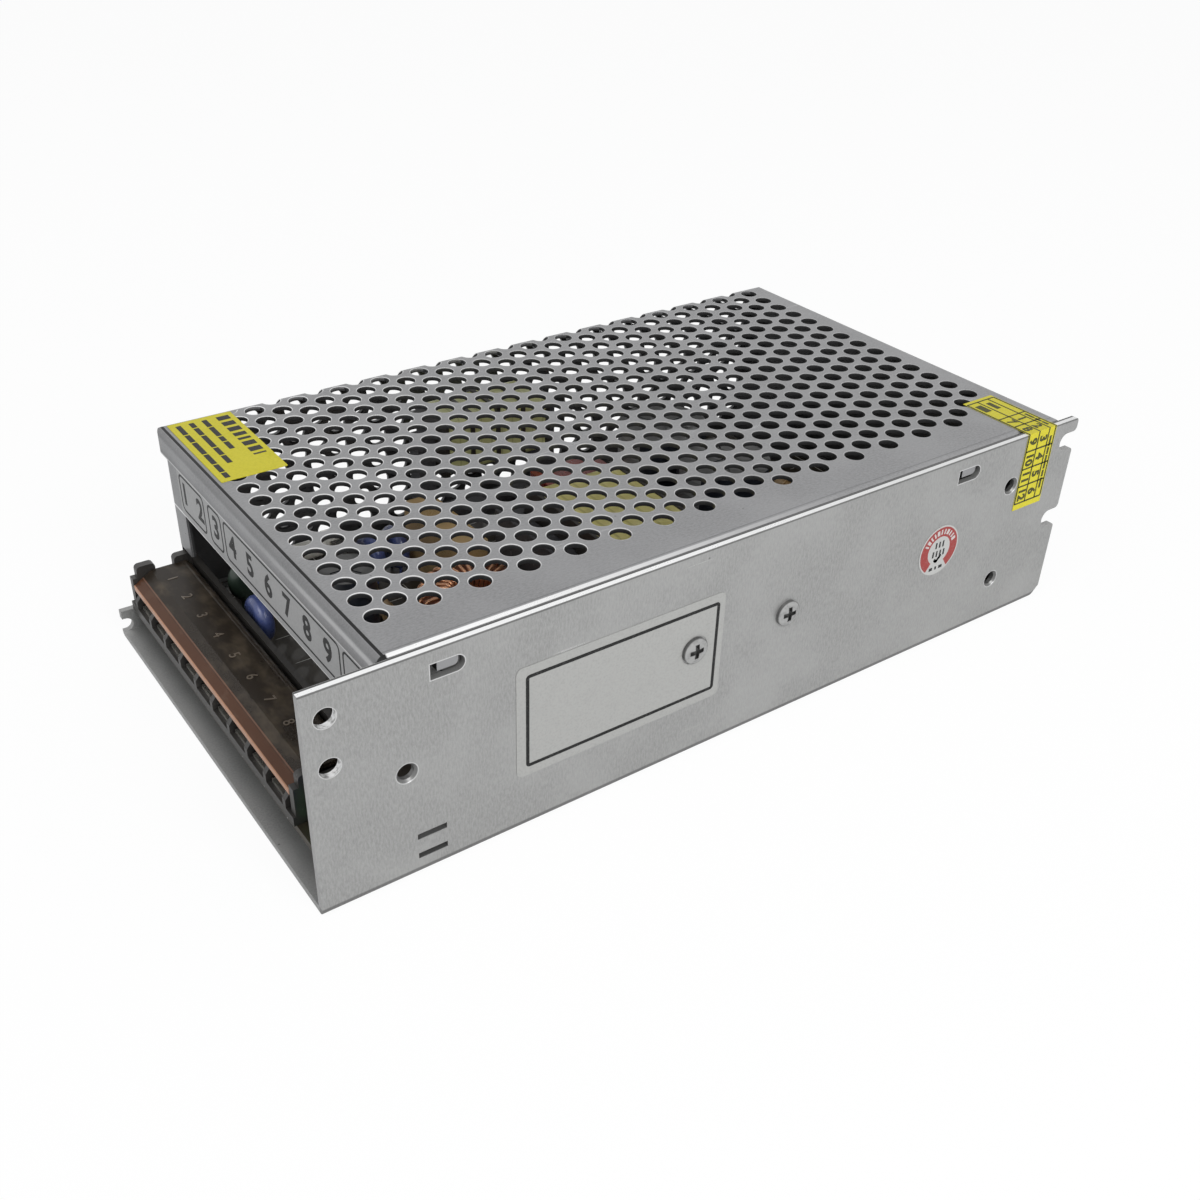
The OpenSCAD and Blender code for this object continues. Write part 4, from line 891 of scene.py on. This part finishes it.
def make_floor(stage):
    """A pale floor that looks near white to the camera and still holds a soft shadow."""
    floor = primitive("grid", size=stage.floor_size, x_subdivisions=8, y_subdivisions=8)
    floor.name = "floor"
    paint = Paint("pale_floor")
    cloud = paint.noise(400.0, 2.0)
    tone = paint.mix((0.86, 0.86, 0.86), (0.9, 0.9, 0.9), cloud)
    matt = paint.node("BsdfDiffuse", None, {"Color": tone})
    white = paint.node("Emission", None, {"Color": (1, 1, 1, 1), "Strength": 1.0})
    seen = paint.node("LightPath", output="Is Camera Ray")
    share = paint.node("MixShader", None, {0: seen * FLOOR_WHITE, 1: matt, 2: white})
    floor.data.materials.append(paint.close(share))


def make_sky(stage):
    """A world that lights evenly and looks white to the camera, to metal and through glass."""
    paint = Paint("studio", "worlds", "OutputWorld")
    rays = ("Is Camera Ray", "Is Transmission Ray", "Is Glossy Ray")
    camera, through, gloss = (paint.node("LightPath", output=ray) for ray in rays)
    light = paint.node("Background", None, {"Color": SKY_COLOUR, "Strength": stage.sky_strength})
    white = paint.node("Background", None, {"Color": (1, 1, 1, 1)})
    seen = camera.highest(through).highest(gloss)
    share = paint.node("MixShader", None, {0: seen, 1: light, 2: white})
    bpy.context.scene.world = paint.close(share)


class SUPPLY_OT_stage(bpy.types.Operator):
    """Adds the camera, the floor, the sky and the lamps"""

    bl_idname = "supply.stage"
    bl_label = "Stage"

    def execute(self, context):
        stage = context.scene.supply_stage
        context.scene.view_settings.view_transform = "Standard"
        make_camera(stage)
        make_floor(stage)
        make_sky(stage)
        area_lamp("key_lamp", KEY_PLACE, stage.key_power)
        area_lamp("fill_lamp", FILL_PLACE, stage.fill_power)
        return {"FINISHED"}


# Case


class SUPPLY_OT_case(bpy.types.Operator):
    """Finishes the chassis, the cover and their screws"""

    bl_idname = "supply.case"
    bl_label = "Case"

    def execute(self, context):
        finish = context.scene.supply_finish
        paint_nodes(chassis_sheet(finish.wall_colour, finish.edge_and_highlight_colour), "chassis")
        paint_nodes(cover_sheet(finish.cover_colour, finish.edge_and_highlight_colour), "mesh_cover")
        paint_nodes(bright_metal("plated_screw", (0.45, 0.45, 0.44), 0.32), "cover_screws", "board_screws")
        low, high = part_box("wall_screws")
        radius = (high.z - low.z) / 2
        places = [(x / MM, (low.z + radius) / MM) for x in (low.x + radius, high.x - radius)]
        paint_nodes(cross_heads("wall_screw", (0.36, 0.36, 0.355), places), "wall_screws")
        return {"FINISHED"}


# Terminals


class SUPPLY_OT_terminals(bpy.types.Operator):
    """Finishes the terminal block and its metal"""

    bl_idname = "supply.terminals"
    bl_label = "Terminals"

    def execute(self, context):
        paint_nodes(moulded("terminal_plastic", (0.028, 0.026, 0.024), 0.4, 0.3, 0.2), "terminal_block")
        tinned = bright_metal("tinned_plate", (0.62, 0.6, 0.55), 0.3)
        paint_nodes(tinned, "terminal_contacts", "terminal_clamps", "fuse_clips")
        paint_nodes(bright_metal("terminal_screw", (0.66, 0.6, 0.48), 0.24), "terminal_screws")
        return {"FINISHED"}


def pole_places():
    """The middle of each terminal across the case, from the far side to the near side."""
    first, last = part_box("terminal_screws")
    head = last.x - first.x
    near, far = first.y + head / 2, last.y - head / 2
    return [far - i * (far - near) / (POLES - 1) for i in range(POLES)]


class SUPPLY_OT_clear_cover(bpy.types.Operator):
    """Finishes the clear cover and adds its raised figures"""

    bl_idname = "supply.clear_cover"
    bl_label = "Clear cover"

    def execute(self, context):
        finish = context.scene.supply_finish
        paint_nodes(smoky_clear(finish.lid_colour, finish.lid_glow), "terminal_cover")
        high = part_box("terminal_cover")[1]
        raised = 0.12 * MM
        parts = []
        for i, y in enumerate(pole_places()):
            mark = figure(str(i + 1), context.scene.supply_print.lid_figure, raised)
            place = Vector((high.x - 6.4 * MM, y, high.z - 0.1 * MM))
            parts.append(seat(mark, -Y, X, place))
        amber = moulded("raised_figures", (0.13, 0.105, 0.08), 0.3)
        make_piece("cover_figures", parts, amber, LID)
        return {"FINISHED"}


# Board and parts


class SUPPLY_OT_board(bpy.types.Operator):
    """Finishes the board, its film and stand-offs, the adjuster and the lamp"""

    bl_idname = "supply.board"
    bl_label = "Circuit board"

    def execute(self, context):
        paint_nodes(board_laminate(), "circuit_board")
        paint_nodes(thin_film("insulating_film", (0.3, 0.3, 0.28), 0.34), "insulating_film")
        paint_nodes(bright_metal("turned_brass", (0.6, 0.44, 0.16), 0.3), "board_standoffs")
        paint_nodes(moulded("trimmer_blue", (0.02, 0.1, 0.42), 0.3, 0.2, 0.05), "trimmer_body")
        paint_nodes(moulded("rotor_white", (0.7, 0.69, 0.64), 0.35, 0.2, 0.1), "trimmer_rotor")
        paint_nodes(lens_plastic("green_lens", (0.05, 0.42, 0.1)), "indicator_lamp")
        return {"FINISHED"}


class SUPPLY_OT_power_devices(bpy.types.Operator):
    """Finishes the packages, their pad and their clamp"""

    bl_idname = "supply.power_devices"
    bl_label = "Power devices"

    def execute(self, context):
        paint_nodes(thin_film("thermal_pad", (0.42, 0.44, 0.45), 0.6), "thermal_pad")
        package = moulded("package_black", (0.025, 0.025, 0.027), 0.5, 0.25, 0.1)
        paint_nodes(package, "switching_transistors", "output_rectifier", "bridge_rectifier")
        paint_nodes(package, "signal_transistors", "control_chip")
        paint_nodes(bright_metal("clamp_bar", (0.45, 0.45, 0.45), 0.38), "clamp_bar")
        return {"FINISHED"}


class SUPPLY_OT_coils(bpy.types.Operator):
    """Finishes the cores and the taped coils"""

    bl_idname = "supply.coils"
    bl_label = "Coils"

    def execute(self, context):
        tape = context.scene.supply_finish.tape_colour
        ferrite = sintered("ferrite", (0.06, 0.06, 0.065))
        paint_nodes(ferrite, "main_core", "line_choke_core", "drive_core")
        paint_nodes(sintered("powder_core", (0.2, 0.08, 0.045)), "ring_core")
        paint_nodes(coil_tape("main_tape", tape, 5.5), "main_winding")
        paint_nodes(coil_tape("drive_tape", tape, 4.0), "drive_winding")
        paint_nodes(coil_tape("choke_tape", (0.6, 0.6, 0.28), 3.0), "line_choke_winding")
        paint_nodes(moulded("bobbin_plastic", (0.03, 0.026, 0.022)), "main_bobbin", "line_choke_bobbin")
        return {"FINISHED"}


class SUPPLY_OT_copper_turns(bpy.types.Operator):
    """Winds the ring core with turns of round copper wire"""

    bl_idname = "supply.copper_turns"
    bl_label = "Copper turns"

    def execute(self, context):
        sizes = context.scene.supply_print
        low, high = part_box("ring_winding")
        core_low, core_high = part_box("ring_core")
        middle = (core_low + core_high) / 2
        middle.z = (low.z + high.z) / 2
        wire = sizes.coil_wire
        spare = wire + 0.1 * MM
        core_r = (core_high.x - core_low.x) / 2
        loop_low, loop_high = core_r / 2 - spare, core_r + spare
        turn = wire_loop(loop_high - loop_low, high.z - low.z - 2 * wire, 1.5 * MM, wire)
        shift = Matrix.Translation(((loop_low + loop_high) / 2, 0, 0))
        lean = Matrix.Rotation(math.radians(3), 4, "X")
        start, sweep = 15, 330
        parts = []
        for i in range(sizes.coil_turns):
            copy = copy_of(turn)
            around = Matrix.Rotation(math.radians(start + i * sweep / sizes.coil_turns), 4, "Z")
            copy.matrix_world = Matrix.Translation(middle) @ around @ shift @ lean
            take(copy)
            bpy.ops.object.transform_apply()
            parts.append(copy)
        take(turn)
        bpy.ops.object.delete()
        coil = make_piece("copper_turns", parts, enamelled_copper(), CASE)
        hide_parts("ring_winding")
        return {"FINISHED"}


class SUPPLY_OT_capacitors(bpy.types.Operator):
    """Finishes the capacitors"""

    bl_idname = "supply.capacitors"
    bl_label = "Capacitors"

    def execute(self, context):
        sleeve = shrink_sleeve("can_sleeve", (0.02, 0.023, 0.03), (0.42, 0.42, 0.42))
        paint_nodes(sleeve, "input_capacitors", "output_capacitors", "small_capacitors")
        paint_nodes(dipped("red_dip", (0.26, 0.03, 0.02)), "film_capacitor")
        paint_nodes(moulded("beige_box", (0.5, 0.34, 0.16), 0.3, 0.3, 0.05), "line_capacitor")
        paint_nodes(dipped("blue_dip", (0.08, 0.11, 0.29)), "safety_capacitors")
        return {"FINISHED"}


class SUPPLY_OT_small_parts(bpy.types.Operator):
    """Finishes the fuse, the thermistor and the resistors"""

    bl_idname = "supply.small_parts"
    bl_label = "Small parts"

    def execute(self, context):
        paint_nodes(dipped("green_dip", (0.02, 0.035, 0.024), 0.4), "thermistor")
        paint_nodes(moulded("fuse_ceramic", (0.7, 0.68, 0.62), 0.3, 0.4, 0.05, 0.3), "fuse")
        paint_nodes(dipped("resistor_lacquer", (0.5, 0.33, 0.16), 0.3), "resistors")
        return {"FINISHED"}


# Labels and prints


class SUPPLY_OT_labels(bpy.types.Operator):
    """Finishes the label stock"""

    bl_idname = "supply.labels"
    bl_label = "Labels"

    def execute(self, context):
        finish = context.scene.supply_finish
        paint_nodes(printed_paper("legend_foil", (0.34, 0.34, 0.34)), "legend_strip")
        paint_nodes(printed_paper("spec_foil", (0.33, 0.33, 0.32), 0.1), "spec_label")
        low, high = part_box("round_seal")
        radius = (high.x - low.x) / 2 / MM
        seal = seal_paper(finish.seal_red, (0.42, 0.42, 0.41), (low + high) / 2, radius)
        paint_nodes(seal, "round_seal")
        paint_nodes(printed_paper("label_yellow", finish.label_yellow), "top_label", "dated_seal")
        return {"FINISHED"}


class SUPPLY_OT_legend_print(bpy.types.Operator):
    """Prints rounded frames over the groups of terminals, and a plain figure over each pole"""

    bl_idname = "supply.legend_print"
    bl_label = "Legend"

    def execute(self, context):
        sizes = context.scene.supply_print
        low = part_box("legend_strip")[0]
        bottom, top = 32.3 * MM, 41.8 * MM
        middle_z = (bottom + top) / 2
        groups = ((46.4, 31.8), (29.5, 22.1), (20.8, -34.5), (-35.6, -50.2))
        parts = []
        for start, end in groups:
            mark = flat_plate((start - end) * MM, top - bottom, 1.6 * MM, 6, sizes.legend_line)
            parts.append(seat(mark, -Y, Z, Vector((low.x, (start + end) / 2 * MM, middle_z))))
        for i, y in enumerate(pole_places()):
            mark = figure(str(i + 1), sizes.legend_figure, INK, BOLD_LEGEND)
            parts.append(seat(mark, -Y, Z, Vector((low.x, y, middle_z))))
        ink = printing_ink("legend_ink", context.scene.supply_finish.ink_colour)
        make_piece("legend_print", parts, ink, CASE)
        return {"FINISHED"}


class SUPPLY_OT_spec_print(bpy.types.Operator):
    """Prints a rounded frame on the bare spec label"""

    bl_idname = "supply.spec_print"
    bl_label = "Spec frame"

    def execute(self, context):
        ink = printing_ink("spec_ink", times(context.scene.supply_finish.ink_colour, 0.5))
        left, right, bottom, top = (-56.2 * MM, -9.7 * MM, 14.9 * MM, 36.7 * MM)
        middle = Vector(((left + right) / 2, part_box("spec_label")[0].y, (bottom + top) / 2))
        mark = seat(flat_plate(right - left, top - bottom, 0.9 * MM, 6, 0.75 * MM), X, Z, middle)
        make_piece("spec_print", [mark], ink, CASE)
        return {"FINISHED"}


def bar_at(length, width, right, up, place, corner=0.08 * MM):
    """A printed bar, length along right, at a place on a face."""
    return seat(flat_plate(length, width, corner, 2), right, up, place)


class SUPPLY_OT_seal_print(bpy.types.Operator):
    """Prints pale bars round the seal's ring, and a tick and short dark bars under its middle"""

    bl_idname = "supply.seal_print"
    bl_label = "Round seal"

    def execute(self, context):
        low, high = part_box("round_seal")
        centre = (low + high) / 2
        centre.y = low.y
        radius = (high.x - low.x) / 2
        bars = []
        count = 11
        for i in range(count):
            angle = math.pi * (0.14 + 0.72 * i / (count - 1))
            out = Vector((math.cos(angle), 0, math.sin(angle)))
            across = Vector((math.sin(angle), 0, -math.cos(angle)))
            width = (0.45 if i % 3 else 0.8) * MM
            bars.append(bar_at(width, 1.3 * MM, across, out, centre + out * radius * 0.75))
        make_piece("seal_bars", bars, printed_paper("seal_bars", (0.5, 0.46, 0.45)), CASE)
        lean = math.radians(48)
        rise = Vector((math.cos(lean), 0, math.sin(lean)))
        fall = Vector((math.cos(lean), 0, -math.sin(lean)))
        foot = centre + Vector((-0.4 * MM, 0, -3.0 * MM))
        marks = [bar_at(2.3 * MM, 0.75 * MM, rise, Y.cross(rise), foot + rise * 1.0 * MM)]
        marks.append(bar_at(1.1 * MM, 0.75 * MM, fall, Y.cross(fall), foot - fall * 0.5 * MM))
        short = [(1.1, 0.8, -1.7, -4.7), (0.6, 0.8, -0.1, -4.7), (1.2, 0.8, 1.5, -4.7)]
        for count, up in ((3, 1.5), (4, -0.8)):
            short += [(0.5, 1.6, (i - (count - 1) / 2) * 1.15, up) for i in range(count)]
        for length, height, right, up in short:
            place = centre + Vector((right * MM, 0, up * MM))
            marks.append(bar_at(length * MM, height * MM, X, Z, place))
        ink = printing_ink("seal_ink", context.scene.supply_finish.ink_colour)
        make_piece("seal_tick", marks, ink, CASE)
        return {"FINISHED"}


def printed_row(start, right, up, length, height, shares):
    """Bars in a row from start along right, which share the length that their gaps leave."""
    gap = height * 0.4
    total = sum(shares)
    spare = length - gap * (len(shares) - 1)
    parts = []
    at = 0.0
    for share in shares:
        run = spare * share / total
        parts.append(bar_at(run, height, right, up, start + right * (at + run / 2)))
        at += run + gap
    return parts


class SUPPLY_OT_top_print(bpy.types.Operator):
    """Prints rows of plain dark bars on the yellow label"""

    bl_idname = "supply.top_print"
    bl_label = "Top label"

    def execute(self, context):
        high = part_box("top_label")[1]
        start = Vector((high.x - 2.6 * MM, high.y - 1.6 * MM, high.z))
        parts = printed_row(start, -Y, X, 22 * MM, 2.9 * MM, (2, 2, 2, 1.6, 1, 2, 2, 0.6))
        rows = ((16.7, (3, 4, 2, 3)), (22.8, (2, 3, 5, 3, 3)), (29.0, (4, 3, 5, 4, 3, 2)))
        for i, (length, shares) in enumerate(rows):
            place = start - X * (4.2 + 3.0 * i) * MM
            parts += printed_row(place, -Y, X, length * MM, 1.2 * MM, shares)
        ink = printing_ink("top_ink", context.scene.supply_finish.ink_colour)
        make_piece("top_print", parts, ink, CASE)
        return {"FINISHED"}


class SUPPLY_OT_dated_print(bpy.types.Operator):
    """Prints a grid of plain figures from 1 to 12 on the folded seal, continued over its fold"""

    bl_idname = "supply.dated_print"
    bl_label = "Dated seal"

    def execute(self, context):
        sizes = context.scene.supply_print
        low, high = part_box("dated_seal")
        cell = sizes.grid_cell
        line = 0.42 * MM
        row = 3.6 * MM
        rear = high.x - 0.4 * MM
        first = rear - 2.2 * MM
        levels = [rear, first, first - row, first - 2 * row]
        middle = (levels[0] + levels[3]) / 2
        wide = levels[0] - levels[3]
        wall_end = 4 * cell
        top_end = (high.y - low.y) - 1.2 * MM
        parts = []

        def spot(x, run):
            """Direction and place on the seal: run goes down the wall, or back over the top if negative."""
            if run > 0:
                return -Z, Vector((x, low.y, high.z - run))
            return -Y, Vector((x, low.y - run, high.z))

        def bar(length, width, x, run, corner=0.0):
            right, place = spot(x, run)
            parts.append(bar_at(length, width, right, X, place, corner))

        for x in levels:
            bar(wall_end, line, x, wall_end / 2)
            bar(top_end, line, x, -top_end / 2)
        for run in (cell, 2 * cell, 3 * cell, 4 * cell, -cell, -2 * cell, -top_end):
            bar(line, wide, middle, run)
        for column in range(6):
            for half in range(2):
                mark = figure(str(column + 1 + 6 * half), sizes.grid_figure, INK, BOLD_GRID)
                right, place = spot((levels[1 + half] + levels[2 + half]) / 2, (column - 1.5) * cell)
                parts.append(seat(mark, right, X, place))
        x = (levels[0] + levels[1]) / 2
        for run, length, shares in ((0.5, 3, (3, 2, 4, 2, 3)), (-1.8, 1.5, (3, 2, 2))):
            right, start = spot(x, run * cell)
            parts += printed_row(start, right, X, length * cell, 0.7 * MM, shares)
        for rows_on, width in ((0.8, 1.4), (1.8, 2.0)):
            bar(3.6 * MM, width * MM, x - row * rows_on, 3.4 * MM - top_end, 0.08 * MM)
        ink = printing_ink("dated_ink", (0.05, 0.05, 0.01))
        make_piece("dated_print", parts, ink, CASE)
        return {"FINISHED"}


OPERATORS = (
    SUPPLY_OT_stage,
    SUPPLY_OT_case,
    SUPPLY_OT_terminals,
    SUPPLY_OT_clear_cover,
    SUPPLY_OT_board,
    SUPPLY_OT_power_devices,
    SUPPLY_OT_coils,
    SUPPLY_OT_copper_turns,
    SUPPLY_OT_capacitors,
    SUPPLY_OT_small_parts,
    SUPPLY_OT_labels,
    SUPPLY_OT_legend_print,
    SUPPLY_OT_spec_print,
    SUPPLY_OT_seal_print,
    SUPPLY_OT_top_print,
    SUPPLY_OT_dated_print,
)


class SUPPLY_PT_panel(bpy.types.Panel):
    """Lists the steps that dress the supply."""

    bl_label = "Mesh Case Supply"
    bl_idname = "SUPPLY_PT_panel"
    bl_space_type = "VIEW_3D"
    bl_region_type = "UI"
    bl_category = "Supply"

    def draw(self, context):
        scene = context.scene
        for group in (scene.supply_stage, scene.supply_finish, scene.supply_print):
            box = self.layout.box()
            for name in group.__annotations__:
                box.prop(group, name)
        for maker in OPERATORS:
            self.layout.operator(maker.bl_idname)


CLASSES = (SupplyStage, SupplyFinish, SupplyPrint, *OPERATORS, SUPPLY_PT_panel)


def register():
    for cls in CLASSES:
        bpy.utils.register_class(cls)
    bpy.types.Scene.supply_stage = bpy.props.PointerProperty(type=SupplyStage)
    bpy.types.Scene.supply_finish = bpy.props.PointerProperty(type=SupplyFinish)
    bpy.types.Scene.supply_print = bpy.props.PointerProperty(type=SupplyPrint)


def unregister():
    del bpy.types.Scene.supply_print
    del bpy.types.Scene.supply_finish
    del bpy.types.Scene.supply_stage
    for cls in reversed(CLASSES):
        bpy.utils.unregister_class(cls)


def main():
    register()
    for maker in OPERATORS:
        getattr(bpy.ops.supply, maker.bl_idname.split(".")[1])()


if __name__ == "__main__":
    main()
